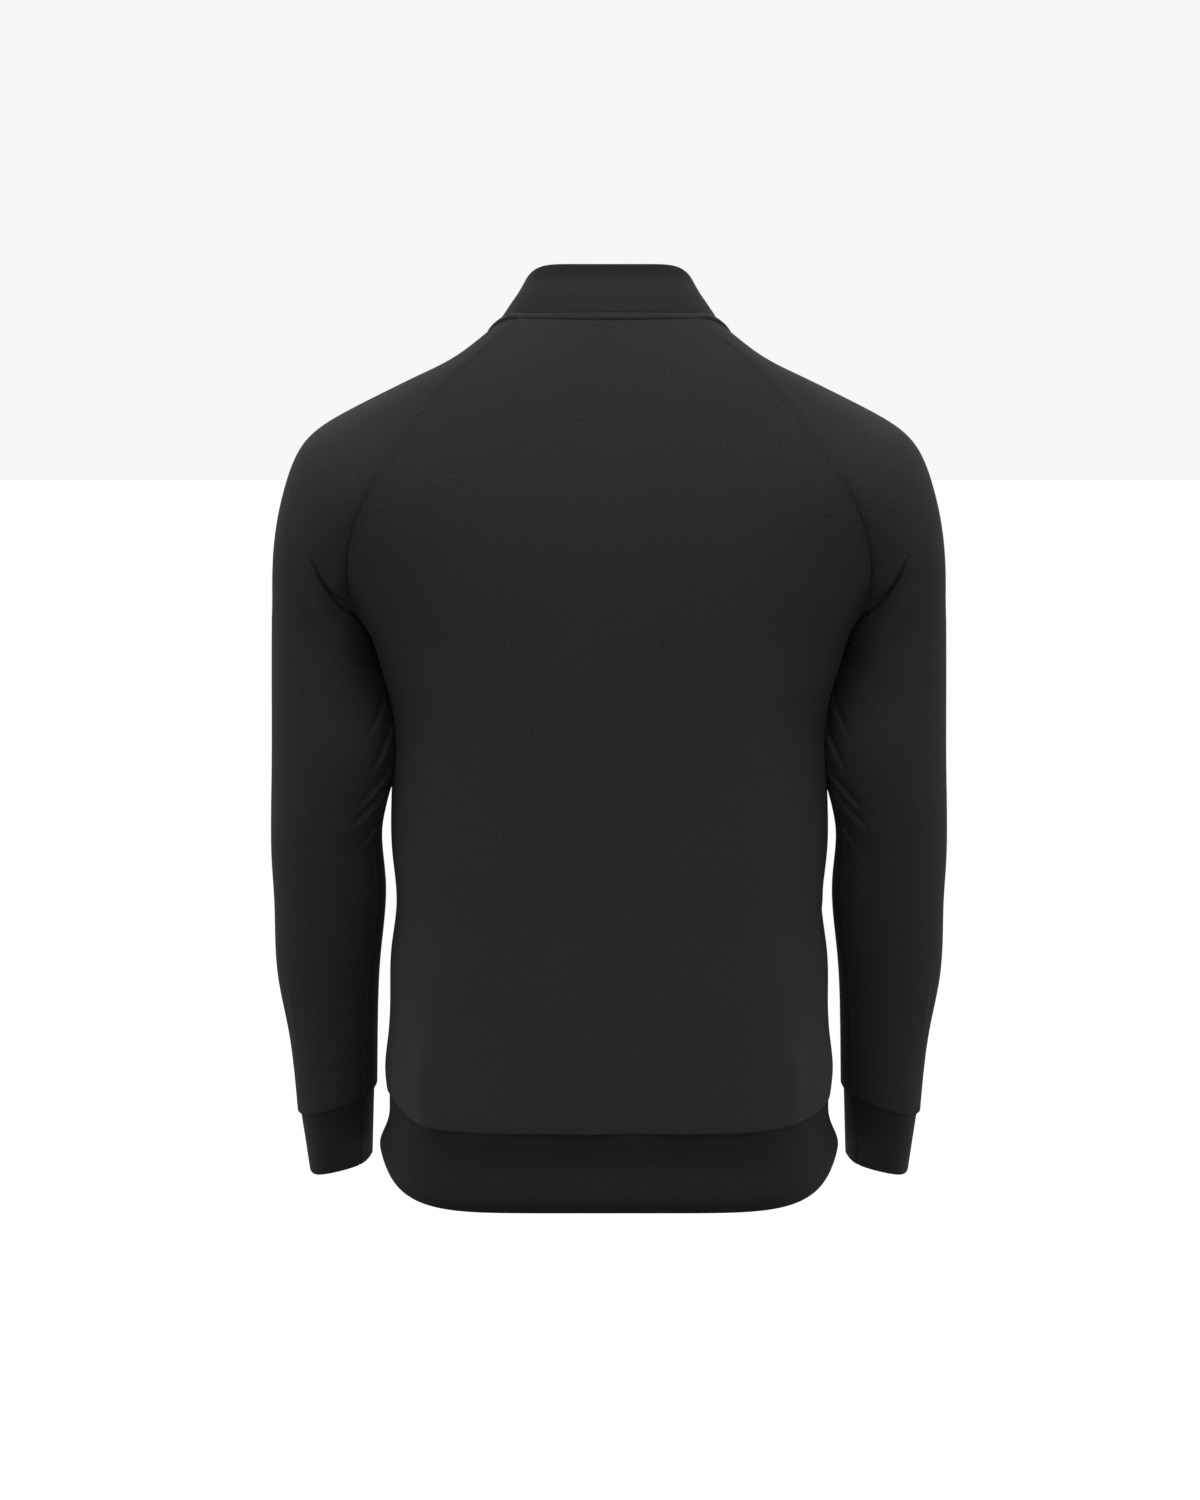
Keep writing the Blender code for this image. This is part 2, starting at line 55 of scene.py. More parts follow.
HALF_PANEL_COLUMNS = 66
EDGE_STEPS = (0.0, 0.0003, 0.0007, 0.0012, 0.0020, 0.0034)   # rows and columns beside a seam
PANEL_ROLL = (0.0004, 0.0006)       # how deep the panels' edges turn in, and over what width
HEM_ROLL = (0.0010, 0.0014)
NECK_SINK = 0.0008         # the cloth dips this much under the tape of the neck seam
NECK_SINK_WIDTH = 0.0075
PANEL_RISE = (0.00072, 0.0012)      # how proud they stand at the raglan seams, high and low
PANEL_RISE_WIDTH = 0.0024
Wave = namedtuple("Wave", "height across down start")
WAVES = (                  # long, shallow, nearly vertical waves of the hanging cloth
    Wave(0.0010, 62, 2, 0.9), Wave(0.0006, 103, -3, -1.7), Wave(0.0004, 24, 19, 0.0),
)
WAVE_TOP = -0.12           # they begin below this height,
WAVE_FADE = 0.20           # reach their full depth this much lower,
WAVE_MARGIN = 0.03         # and fade out this near to the seams


def table(kind, *rows):
    """Rows of numbers as named tuples of one kind."""
    return [kind(*row) for row in rows]


# Half the width between the side seams at each height, from the hem up to the armpit.
SideSeam = namedtuple("SideSeam", "height half_width")
SIDE_SEAM = table(
    SideSeam, (-0.594, 0.1742), (-0.576, 0.1757), (-0.55, 0.1731), (-0.52, 0.171), (-0.48, 0.1697),
    (-0.441, 0.165), (-0.4, 0.168), (-0.365, 0.1682), (-0.325, 0.1665), (-0.2865, 0.1676),
    (-0.25, 0.1757), (-0.227, 0.182))

# The middle of each panel: how far it stands out, how flat it is across and how round at the
# sides, as the two powers of an oval.
CentreLine = namedtuple("CentreLine", "height depth flatness roundness")
BACK_LINE = table(
    CentreLine, (-0.594, 0.119, 6.6, 1.2), (-0.5, 0.1165, 4.8, 1.6), (-0.4, 0.1155, 3.8, 1.9),
    (-0.3, 0.1175, 3.3, 2.0), (-0.2265, 0.12, 2.9, 2.2), (-0.16, 0.1185, 2.7, 2.4),
    (-0.1, 0.109, 2.5, 2.5), (-0.05, 0.094, 2.4, 2.4), (-0.015, 0.079, 2.3, 2.3),
    (NAPE_HEIGHT, 0.064, 2.2, 2.2))
FRONT_LINE = table(
    CentreLine, (-0.594, 0.117, 5.8, 1.3), (-0.5, 0.118, 4.2, 1.65), (-0.4, 0.1205, 3.4, 1.9),
    (-0.3, 0.125, 3.0, 2.0), (-0.2265, 0.127, 2.8, 2.2), (-0.16, 0.122, 2.6, 2.4),
    (-0.11, 0.106, 2.4, 2.4), (THROAT_HEIGHT, 0.078, 2.1, 2.1))

# Raglan seams on the wearer's left, from the neck to the armpit. Their rows are numbered as
# sections of the sleeve, so 0 is the neck and 8 the armpit.
SeamPoint = namedtuple("SeamPoint", "x depth height")
BACK_SEAM = table(
    SeamPoint, (0.0624, 0.05, 0.012), (0.0945, 0.065, -0.0136), (0.124, 0.0785, -0.0408),
    (0.156, 0.094, -0.0845), (0.179, 0.0975, -0.124), (0.1905, 0.0855, -0.159),
    (0.1932, 0.063, -0.19), (0.189, 0.035, -0.2145), (0.182, 0.0, -0.227))
FRONT_SEAM = table(
    SeamPoint, (0.056, 0.06, -0.026), (0.078, 0.0715, -0.0405), (0.1, 0.0825, -0.059),
    (0.129, 0.095, -0.095), (0.153, 0.099, -0.133), (0.171, 0.09, -0.168), (0.1835, 0.069, -0.195),
    (0.189, 0.037, -0.214), (0.182, 0.0, -0.227))
ARMPIT = len(BACK_SEAM) - 1

# The arm presses the side of the body in around the top of the side seam.
TUCK_DEPTH = 0.0045
TUCK_HALF_HEIGHT = 0.036
TUCK_HALF_WIDTH = 0.024
WIDTH_SECTIONS = 3         # near the armpit the rows take the body's own smooth half width
LINE_POINTS = 500          # points of a line that the mesh is read from
NEARLY_ALL = 0.999         # share of an oval's depth, or of a roll, that is not passed


def curve(knots, values):
    """Smooth curve through values at knots, as a function of the place along the knots."""
    knots = np.asarray(knots, float)
    values = np.asarray(values, float)
    order = np.argsort(knots)
    knots = knots[order]
    values = values[order]
    gap = np.diff(knots)
    slope = (np.diff(values, axis=0).T / gap).T
    size = len(knots)
    system = np.eye(size)
    right = np.zeros_like(values)
    for i in range(1, size - 1):
        system[i, i - 1:i + 2] = gap[i - 1], 2 * (gap[i - 1] + gap[i]), gap[i]
        right[i] = 6 * (slope[i] - slope[i - 1])
    bend = np.linalg.solve(system, right)

    def read(at):
        at = np.asarray(at, float)
        cell = np.clip(np.searchsorted(knots, at) - 1, 0, size - 2)
        step = gap[cell]
        before = at - knots[cell]
        after = knots[cell + 1] - at
        if values.ndim > 1:
            step, before, after = (part[..., None] for part in (step, before, after))
        return (bend[cell] * after ** 3 / (6 * step) + bend[cell + 1] * before ** 3 / (6 * step)
                + (values[cell] / step - bend[cell] * step / 6) * after
                + (values[cell + 1] / step - bend[cell + 1] * step / 6) * before)

    return read


def ease(share):
    """Smooth step from 0 to 1."""
    share = np.clip(share, 0, 1)
    return share * share * (3 - 2 * share)


def bell(distance, width):
    """1 at a distance of 0, fading away on both sides over about the width."""
    return np.exp(-(distance / width) ** 2)


def unit(vectors):
    """Vectors made 1 long."""
    return vectors / np.linalg.norm(vectors, axis=-1, keepdims=True)


def lengths(line):
    """Distance along a line at each of its points."""
    steps = np.linalg.norm(np.diff(line, axis=0), axis=1)
    return np.concatenate(([0.0], np.cumsum(steps)))


def between(places, knots, values):
    """Values that are given at knots, read at places between them."""
    return np.stack([np.interp(places, knots, part) for part in values.T], axis=1)


def read_line(line, places):
    """Points of a line at distances along it."""
    return between(places, lengths(line), line)


def places_along(length, count, first=False, last=False):
    """Distances along a line: even, but close together beside a seamed end."""
    start = np.array(EDGE_STEPS) if first else np.zeros(1)
    end = length - np.array(EDGE_STEPS)[::-1] if last else np.array([length])
    middle = np.linspace(start[-1], end[0], count + 1)
    return np.concatenate([start[:-1], middle, end[1:]])


def tuck(depth, height):
    """How far the arm presses a point of the body in from the side."""
    return (TUCK_DEPTH * bell(height - SIDE_SEAM[-1].height, TUCK_HALF_HEIGHT)
            * bell(depth, TUCK_HALF_WIDTH))


def oval_share(oval, depth):
    """Share of its half width that an oval has left at a depth."""
    full_depth, flatness, roundness = oval
    share = np.clip(depth / full_depth, 0, NEARLY_ALL)
    return (1 - share ** roundness) ** (1 / flatness)


Panel = namedtuple("Panel", "seam oval width rise side")


def panel_of(seam, line, side):
    """One panel's seam, ovals and half widths as smooth curves."""
    ovals = curve([row.height for row in line], [row[1:] for row in line])
    rise = line[-1].height - seam[0].height
    heights = [row.height for row in SIDE_SEAM]
    widths = [row.half_width + tuck(0.0, row.height) for row in SIDE_SEAM]
    for section, point in reversed(list(enumerate(seam[:-1]))):
        height = point.height + rise * (1 - section / ARMPIT) ** 2
        share = oval_share(ovals(height), point.depth)
        heights.append(height)
        widths.append((point.x + tuck(point.depth, point.height)) / share)
    return Panel(curve(range(len(seam)), seam), ovals, curve(heights, widths), rise, side)


def panel_row(panel, section=None, height=None):
    """Edge point, centre height, oval and oval half width of a row of a panel: by height below
    the armpit, by section above it."""
    if section is None:
        depth = 0.0
        centre_height = height
    else:
        x, depth, height = panel.seam(section)
        depth = max(depth, 0.0)
        centre_height = height + panel.rise * (1 - section / ARMPIT) ** 2
    oval = panel.oval(centre_height)
    reach = float(panel.width(centre_height))
    if section is not None:
        exact = (x + tuck(depth, height)) / oval_share(oval, depth)
        reach = exact + (reach - exact) * ease(section - (ARMPIT - WIDTH_SECTIONS))
    x = reach * oval_share(oval, depth) - tuck(depth, height)
    return np.array([x, depth, height]), centre_height, oval, reach


def half_line(row):
    """A panel's row as a line from its edge to the centre line, depth as a positive number."""
    edge, centre_height, (depth, flatness, roundness), reach = row
    untucked = edge[0] + tuck(edge[1], edge[2])
    turn = np.linspace(math.asin(min(untucked / reach, 1.0)), 0, LINE_POINTS)
    x = reach * np.sin(turn)
    y = depth * np.maximum(1 - (x / reach) ** flatness, 0) ** (1 / roundness)
    y[0] = edge[1]
    z = centre_height + (edge[2] - centre_height) * (x / x[0]) ** 2
    return np.stack([x - tuck(y, z), y, z], axis=1)


def distances(grid, axis):
    """Distance from each point of a grid to both ends of its column, or of its row for axis 1."""
    steps = np.linalg.norm(np.diff(grid, axis=axis), axis=2)
    run = np.cumsum(np.insert(steps, 0, 0.0, axis=axis), axis=axis)
    return run, np.take(run, [-1], axis=axis) - run


def from_neck(grid):
    """Spaces the first rows of a grid so that each lies at one distance from the neck edge."""
    places = distances(grid, 0)[0]
    head = places[:len(HEAD_RUN)]
    mix = ease((HEAD_RUN - NECK_EVEN) / NECK_BLEND)[:, None]
    places[:len(HEAD_RUN)] = HEAD_RUN[:, None] * (1 - mix) + head * mix
    return np.stack([read_line(grid[:, column], places[:, column])
                     for column in range(grid.shape[1])], axis=1)


BACK = panel_of(BACK_SEAM, BACK_LINE, 1)
FRONT = panel_of(FRONT_SEAM, FRONT_LINE, -1)

# Rows of the raglan seam, shared by the panels and the sleeves: distance from the neck and
# section number.
NECK_EVEN = 0.010          # the first rows keep one distance from the neck edge up to here,
NECK_BLEND = 0.240         # and less and less over this length
BLADE_SECTION = 2.5        # where the seam begins to change at the shoulder blade,
BLADE_SPREAD = 3           # and over how many sections it does
SEAM_STOP = ARMPIT + 0.3   # where its steps have faded out, at the armpit,
SEAM_FADE = 0.8            # and over what part of a section they do
seam_numbers = np.linspace(0, ARMPIT, LINE_POINTS)
seam_run = lengths(BACK.seam(seam_numbers))
HEAD_RUN = places_along(seam_run[-1], round(seam_run[-1] / ROW_STEP), first=True)
HEAD = np.interp(HEAD_RUN, seam_run, seam_numbers)


def panel_grid(panel):
    """Whole panel from the neck down to the hem, columns anticlockwise seen from above."""
    body = SIDE_SEAM[-1].height - HEM_SEAM_HEIGHT
    heights = SIDE_SEAM[-1].height - places_along(body, round(body / ROW_STEP), last=True)[1:]
    rows = [panel_row(panel, section=section) for section in HEAD]
    rows += [panel_row(panel, height=height) for height in heights]
    grid = []
    for row in rows:
        line = half_line(row)
        half = read_line(line, places_along(lengths(line)[-1], HALF_PANEL_COLUMNS, first=True))
        grid.append(np.concatenate([half, half[-2::-1] * (-1, 1, 1)]))
    grid = from_neck(np.array(grid))
    if panel.side < 0:
        grid = grid[:, ::-1] * (1, -1, 1)
    return grid


def normals(grid, closed=False):
    """Outward direction at each point of a grid whose rows run down and columns anticlockwise."""
    if closed:
        wide = np.concatenate([grid[:, -2:-1], grid, grid[:, 1:2]], axis=1)
        across = wide[:, 2:] - wide[:, :-2]
    else:
        across = np.gradient(grid, axis=1)
    return unit(np.cross(np.gradient(grid, axis=0), across))


def roll(distance, sink, width):
    """How deep a seamed edge has turned in at a distance from its seam."""
    share = np.clip(1 - distance / width, 0, 1)
    return -sink * (1 - np.sqrt(1 - share ** 2 * NEARLY_ALL))


def seam_share(rows, high, low):
    """A value for each row of cloth beside the raglan seam: high above the shoulder blade, low
    below it, and 0 past the armpit."""
    share = np.zeros(rows)
    lower = ease((HEAD - BLADE_SECTION) / BLADE_SPREAD)
    share[:len(HEAD)] = (high + (low - high) * lower) * ease((SEAM_STOP - HEAD) / SEAM_FADE)
    return share[:, None]


def cloth_map(grid):
    """Places on the cloth in metres: across from the middle column and down from the top row."""
    first, last = distances(grid, 1)
    middle = grid.shape[1] // 2
    down = distances(grid, 0)[0][:, middle]
    return np.stack([first - first[:, middle:middle + 1], np.repeat(
        down[:, None], grid.shape[1], axis=1)], axis=2)


def link(thing):
    """Puts an object into the scene."""
    bpy.context.scene.collection.objects.link(thing)


def new_piece(name, grid, material, wall=None, closed_from=None, cloth=None, ring=False):
    """A piece of cloth from a grid of points. From the row closed_from on, the last column is the
    first one again, and in a ring the last row is the first one again."""
    rows, columns = grid.shape[:2]
    closed_from = rows if closed_from is None else closed_from
    cloth = cloth_map(grid) if cloth is None else cloth
    row, column = np.meshgrid(np.arange(rows - 1), np.arange(columns - 1), indexing="ij")
    corner_rows = np.stack([row, row + 1, row + 1, row], axis=2)
    corner_columns = np.stack([column, column, column + 1, column + 1], axis=2)
    places = cloth[corner_rows, corner_columns].reshape(-1, 2)
    joined = (corner_rows >= closed_from) & (corner_columns == columns - 1)
    corner_columns = np.where(joined, 0, corner_columns)
    if ring:
        corner_rows = np.where(corner_rows == rows - 1, 0, corner_rows)
    faces = (corner_rows * columns + corner_columns).reshape(-1, 4)
    used, faces = np.unique(faces, return_inverse=True)
    faces = faces.reshape(-1, 4)
    mesh = bpy.data.meshes.new(name)
    mesh.from_pydata(grid.reshape(-1, 3)[used].tolist(), [], faces.tolist())
    layer = mesh.uv_layers.new(name="cloth")
    layer.data.foreach_set("uv", places.astype(np.float32).ravel())
    mesh.shade_smooth()
    mesh.materials.append(material)
    piece = bpy.data.objects.new(name, mesh)
    link(piece)
    if wall:
        thicken = piece.modifiers.new("wall", "SOLIDIFY")
        thicken.thickness = wall
        thicken.offset = -1
    return piece


def waves(grid):
    """Long shallow waves of a hanging panel, fading out toward its neck and its seams."""
    x, z = grid[..., 0], grid[..., 2]
    first, last = distances(grid, 1)
    low = ease((WAVE_TOP - z) / WAVE_FADE)
    inside = ease(np.minimum(first, last) / WAVE_MARGIN)
    return low * inside * sum(wave.height * np.sin(wave.across * x + wave.down * z + wave.start)
                              for wave in WAVES)


# Fine knit: columns of loops (wales) crossed by rows of loops (courses), with the uneven tone
# and the stray fibres of a worn-soft cloth, and painted shade in the grooves between the wales.
# Scales are noise cells in a metre.
KNIT_INPUTS = (("Cloth place", "Vector"), ("Colour", "Color"), ("Wale width", "Float"),
               ("Course height", "Float"), ("Tone change", "Float"))
KNIT_OUTPUTS = (("Colour", "Color"), ("Height", "Float"), ("Roughness", "Float"))
WOBBLE_SCALE, WOBBLE = 90, 0.0012   # how far the rows and columns stray from straight
FIBRE_SCALE = 2600
BROAD_SCALE, BROAD_TONE = 14, 1.2   # broad patches of slightly different tone,
GRAIN_SCALE, GRAIN_TONE = 520, 7.0  # and the fine mottle of the yarn
# Painted shade: the knit's colour is darker in the grooves between wales and lighter on their
# crowns.
GROOVE_SHADE = 0.10                  # the grooves between wales are darker by this share
WALE_RELIEF, LOOP_RELIEF, FIBRE_RELIEF = 0.55, 0.20, 0.50
MEAN_WALE = 0.64                    # the mean of the wale's rounded profile
KNIT_ROUGHNESS, FIBRE_ROUGHNESS = 0.74, 0.16
KNIT_BUMP = 0.6
KNIT_SHEEN_ROUGHNESS = 0.45
KNIT_SPECULAR = 0.22


def set_inputs(node, values):
    """Sets inputs of a shader node by their names."""
    for name, value in values.items():
        node.inputs[name].default_value = value


def knit_group():
    """Node group that gives the colour, with painted shade in the grooves between wales, and the
    height and roughness of a knit at a place on a cloth.
    """
    group = bpy.data.node_groups.new("fine_knit", "ShaderNodeTree")
    for direction, sockets in (("INPUT", KNIT_INPUTS), ("OUTPUT", KNIT_OUTPUTS)):
        for name, kind in sockets:
            group.interface.new_socket(name, in_out=direction, socket_type="NodeSocket" + kind)
    nodes, links = group.nodes, group.links
    given = nodes.new("NodeGroupInput")
    result = nodes.new("NodeGroupOutput")

    def maths(operation, *values):
        node = nodes.new("ShaderNodeMath")
        node.operation = operation
        for socket, value in zip(node.inputs, values):
            if isinstance(value, bpy.types.NodeSocket):
                links.new(value, socket)
            else:
                socket.default_value = value
        return node.outputs[0]

    def noise(scale, detail, roughness=0.6):
        node = nodes.new("ShaderNodeTexNoise")
        set_inputs(node, {"Scale": scale, "Detail": detail, "Roughness": roughness})
        links.new(given.outputs["Cloth place"], node.inputs["Vector"])
        return node.outputs["Fac"]

    def uneven(scale, detail, amount):
        return maths("MULTIPLY", maths("SUBTRACT", noise(scale, detail), 0.5), amount)

    split = nodes.new("ShaderNodeSeparateXYZ")
    links.new(given.outputs["Cloth place"], split.inputs[0])
    wobble = uneven(WOBBLE_SCALE, 2, WOBBLE)
    across = maths("DIVIDE", maths("ADD", split.outputs["X"], wobble), given.outputs["Wale width"])
    down = maths("DIVIDE", maths("ADD", split.outputs["Y"], wobble),
                 given.outputs["Course height"])
    wale = maths("ABSOLUTE", maths("SINE", maths("MULTIPLY", across, math.pi)))
    slanted = maths("ADD", down, maths("PINGPONG", across, 0.5))
    loop = maths("SINE", maths("MULTIPLY", slanted, 2 * math.pi))
    fibre = noise(FIBRE_SCALE, 3, 0.7)
    height = maths("ADD", maths("MULTIPLY", wale, WALE_RELIEF),
                   maths("ADD", maths("MULTIPLY", loop, LOOP_RELIEF),
                         maths("MULTIPLY", fibre, FIBRE_RELIEF)))
    mottle = maths("ADD", uneven(BROAD_SCALE, 3, BROAD_TONE), uneven(GRAIN_SCALE, 2, GRAIN_TONE))
    change = maths("MULTIPLY", mottle, given.outputs["Tone change"])
    # painted shade in the grooves between wales, lighter on the wale crowns
    groove_shade = maths("MULTIPLY", maths("SUBTRACT", wale, MEAN_WALE), GROOVE_SHADE)
    scale = nodes.new("ShaderNodeVectorMath")
    scale.operation = "SCALE"
    links.new(given.outputs["Colour"], scale.inputs[0])
    links.new(maths("ADD", maths("ADD", change, groove_shade), 1.0), scale.inputs["Scale"])
    links.new(scale.outputs[0], result.inputs["Colour"])
    links.new(height, result.inputs["Height"])
    links.new(maths("ADD", maths("MULTIPLY", fibre, FIBRE_ROUGHNESS), KNIT_ROUGHNESS),
              result.inputs["Roughness"])
    return group


FINE_KNIT = knit_group()


def knit_material(name, grey, wale, course, change, relief, sheen):
    """A knit cloth in one shade of grey: the width of its wales, the height of its courses, how
    much its tone changes, the depth of its relief and its sheen."""
    material = bpy.data.materials.new(name)
    material.use_nodes = True
    nodes, links = material.node_tree.nodes, material.node_tree.links
    shader = nodes["Principled BSDF"]
    place = nodes.new("ShaderNodeUVMap")
    place.uv_map = "cloth"
    knit = nodes.new("ShaderNodeGroup")
    knit.node_tree = FINE_KNIT
    set_inputs(knit, {"Colour": (grey, grey, grey, 1.0), "Wale width": wale,
                      "Course height": course, "Tone change": change})
    bump = nodes.new("ShaderNodeBump")
    set_inputs(bump, {"Strength": KNIT_BUMP, "Distance": relief})
    links.new(place.outputs["UV"], knit.inputs["Cloth place"])
    links.new(knit.outputs["Colour"], shader.inputs["Base Color"])
    links.new(knit.outputs["Roughness"], shader.inputs["Roughness"])
    links.new(knit.outputs["Height"], bump.inputs["Height"])
    links.new(bump.outputs["Normal"], shader.inputs["Normal"])
    set_inputs(shader, {"Sheen Weight": sheen, "Sheen Roughness": KNIT_SHEEN_ROUGHNESS,
                        "Specular IOR Level": KNIT_SPECULAR})
    return material


body_cloth = knit_material("body_knit", grey=0.0222, wale=0.0009, course=0.0007, change=0.16,
                           relief=0.00012, sheen=0.04)


def panel_cloth(panel):
    """A panel's grid with its turned-in edges, waves and proud raglan edges."""
    grid = panel_grid(panel)
    first, last = distances(grid, 1)
    edge = np.minimum(first, last)
    top, bottom = distances(grid, 0)
    lift = roll(edge, *PANEL_ROLL) + roll(bottom, *HEM_ROLL) + waves(grid)
    lift = lift - NECK_SINK * ease(1 - top / NECK_SINK_WIDTH)
    lift = lift + seam_share(len(grid), *PANEL_RISE) * bell(edge, PANEL_RISE_WIDTH)
    normal = normals(grid)
    cloth = grid + normal * lift[..., None]
    creases = BODY_CREASES if panel.side > 0 else FRONT_CREASES
    for side in (1, -1):
        flip = np.array([side, 1, 1])
        move = pressed((grid * flip).reshape(-1, 3), (normal * flip).reshape(-1, 3), creases)
        cloth = cloth + move.reshape(grid.shape) * flip
    return grid, cloth


# Creases. Each follows a route over the cloth: a trough with a ridge on its left as the route
# runs, seen from outside. Width and depth are the trough's, ridge is the ridge's height, and
# lean is how far the ridge leans over the trough. Strengths go with the route's points.
Crease = namedtuple("Crease", "route strengths width depth ridge lean", defaults=(0.0, 0.0))
CREASE_POINTS = 80
SPARSE = 4                 # every so many of them are set on the cloth, the rest between them
DIRECTION_REACH = 0.0040   # a crease sinks along the cloth's mean direction this near to it
CREASE_REACH = (6, 0.012)  # what it moves: this many widths from it, or this far if that is more
CREASE_END_FADE = 0.003    # it fades out past its ends over its width, or this if that is more
TROUGH = ((0.75, 1.1), (0.25, 3.0))     # right side of the trough: shares and spreads in widths
RIDGE = (2.2, 1.5)         # place and spread of the ridge, in widths
LEAN = (1.1, 0.8)          # and of the lean
BODY_CREASES = table(
    Crease,
    (((0.192, 0.06, -0.188), (0.1895, 0.0566, -0.199), (0.186, 0.047, -0.208)), (0.3, 1.0, 0.2),
     0.005, 0.0016),
    (((0.164, 0.014, -0.443), (0.162, 0.035, -0.456), (0.1565, 0.053, -0.47)), (0.7, 1.0, 0.0),
     0.0045, 0.0014, 0.0006),
    (((0.154, 0.066, -0.505), (0.15, 0.076, -0.55), (0.148, 0.082, -0.592)), (0.0, 1.0, 0.5),
     0.009, 0.0, 0.004),
    (((0.165, 0.026, -0.306), (0.1648, 0.03, -0.36), (0.164, 0.03, -0.405), (0.162, 0.03, -0.44)),
     (0.0, 1.0, 0.9, 0.0), 0.003, 0.0014, 0.0008),
    (((0.168, 0.04, -0.262), (0.15, 0.092, -0.285), (0.128, 0.106, -0.318)), (0.5, 0.8, 0.0), 0.01,
     0.001))
FRONT_CREASES = table(
    Crease,
    (((0.176, -0.052, -0.226), (0.16, -0.09, -0.236), (0.136, -0.112, -0.256),
     (0.108, -0.118, -0.285)), (0.8, 1.0, 0.6, 0.0), 0.0065, 0.0026, 0.001),
    (((0.168, -0.05, -0.27), (0.15, -0.096, -0.292), (0.126, -0.112, -0.33)), (0.4, 0.9, 0.0),
     0.008, 0.0018, 0.0006),
    (((0.16, -0.06, -0.47), (0.14, -0.095, -0.505), (0.112, -0.108, -0.548)), (0.0, 0.9, 0.2),
     0.01, 0.0018, 0.0008),
    (((0.07, -0.118, -0.38), (0.074, -0.116, -0.47), (0.066, -0.112, -0.575)), (0.0, 0.8, 0.5),
     0.012, 0.0014, 0.0008))


def crease_path(crease):
    """Close points along a crease's route, its strength and its heading at each of them."""
    line = np.array(crease.route)
    run = lengths(line)
    places = np.linspace(0, run[-1], CREASE_POINTS)
    path = curve(run, line)(places)
    return path, np.interp(places, run, crease.strengths), unit(np.gradient(path, axis=0))


def on_cloth(path, points, out):
    """A path moved onto the cloth, given points of it and their outward directions, and the
    cloth's mean outward direction around each point of the path."""
    squares = ((points[None] - path[::SPARSE, None]) ** 2).sum(axis=2)
    closest = squares.argmin(axis=1)
    above = np.einsum("ij,ij->i", points[closest] - path[::SPARSE], out[closest])
    shift = out[closest] * above[:, None]
    mean = np.exp(-(squares - squares.min(axis=1)[:, None]) / DIRECTION_REACH ** 2) @ out
    places = np.arange(len(path))
    shift, mean = (between(places, places[::SPARSE], part) for part in (shift, mean))
    return path + shift, unit(mean)


def pressed(points, out, creases):
    """How far points of the cloth, with these outward directions, are moved by creases."""
    move = np.zeros_like(points)
    for crease in creases:
        path, strength, heading = crease_path(crease)
        path, outward = on_cloth(path, points, out)
        width = crease.width
        reach = max(CREASE_REACH[0] * width, CREASE_REACH[1])
        near = np.where(((points > path.min(axis=0) - reach)
                         & (points < path.max(axis=0) + reach)).all(axis=1))[0]
        if len(near) == 0:
            continue
        offset = points[near][:, None] - path[None]
        away = (offset * outward[None]).sum(axis=2)
        offset = offset - away[..., None] * outward[None]
        nearest = (np.linalg.norm(offset, axis=2) + np.abs(away) / 2).argmin(axis=1)
        offset = offset[np.arange(len(near)), nearest]
        along = heading[nearest]
        normal = outward[nearest]
        left = unit(np.cross(normal, along))
        beside = (offset * left).sum(axis=1)
        beyond = (offset * along).sum(axis=1)
        fade = strength[nearest] * bell(beyond, max(width, CREASE_END_FADE))
        tail = sum(share * bell(beside, spread * width) for share, spread in TROUGH)
        trough = np.where(beside > 0, bell(beside, width), tail)
        ridge, lean = (bell(beside - place * width, spread * width)
                       for place, spread in (RIDGE, LEAN))
        lift = (crease.ridge * ridge - crease.depth * trough) * fade
        move[near] += normal * lift[:, None] - left * (crease.lean * lean * fade)[:, None]
    return move


back_base, back_grid = panel_cloth(BACK)
front_base, front_grid = panel_cloth(FRONT)
back = new_piece("back_panel", back_grid, body_cloth, PANEL_WALL)
front = new_piece("front_panel", front_grid, body_cloth, PANEL_WALL)
for piece, node, flat in ((back, "back", (0.46, 0.62)), (front, "front", (0.46, 0.56))):
    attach(piece, "root")
    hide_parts(node)

# ------------------------------------------------------------ sleeves
# Two raglan sleeves of the same double knit. Each is one piece, closed by a seam that runs from
# the armpit down the back of the forearm. The arms hang a little bent, so the cloth creases
# at the armpits and elbows.
SLEEVE_WALL = 0.0014
HALF_SLEEVE_COLUMNS = 200
SLEEVE_COLUMNS = 76
SLEEVE_ROW_STEP = 0.0038
UNDERARM_GAP = 0.0008
UNDERARM_ROLL = (0.0020, 0.0014)
CUFF_SEAM_ROLL = (0.0012, 0.0016)
SEAM_TUCK = (0.00036, 0.0018)       # how deep the raglan edge sinks, over the shoulder and below
SEAM_TUCK_WIDTH = 0.0028
SEAM_LAP = 0.0004          # all along the seam the sleeve's edge laps this deep under the panel
SEAM_UNDER = 0.0010        # and this far
SEAM_UNDER_WIDTH = 0.0010
SHOULDER_FALL = 0.0011     # over the shoulder the sleeve falls away from the seam a little
SHOULDER_FALL_WIDTH = 0.018
SWELL = 0.0024             # lower down, behind, it swells out beside the seam
SWELL_WIDTH = 0.014

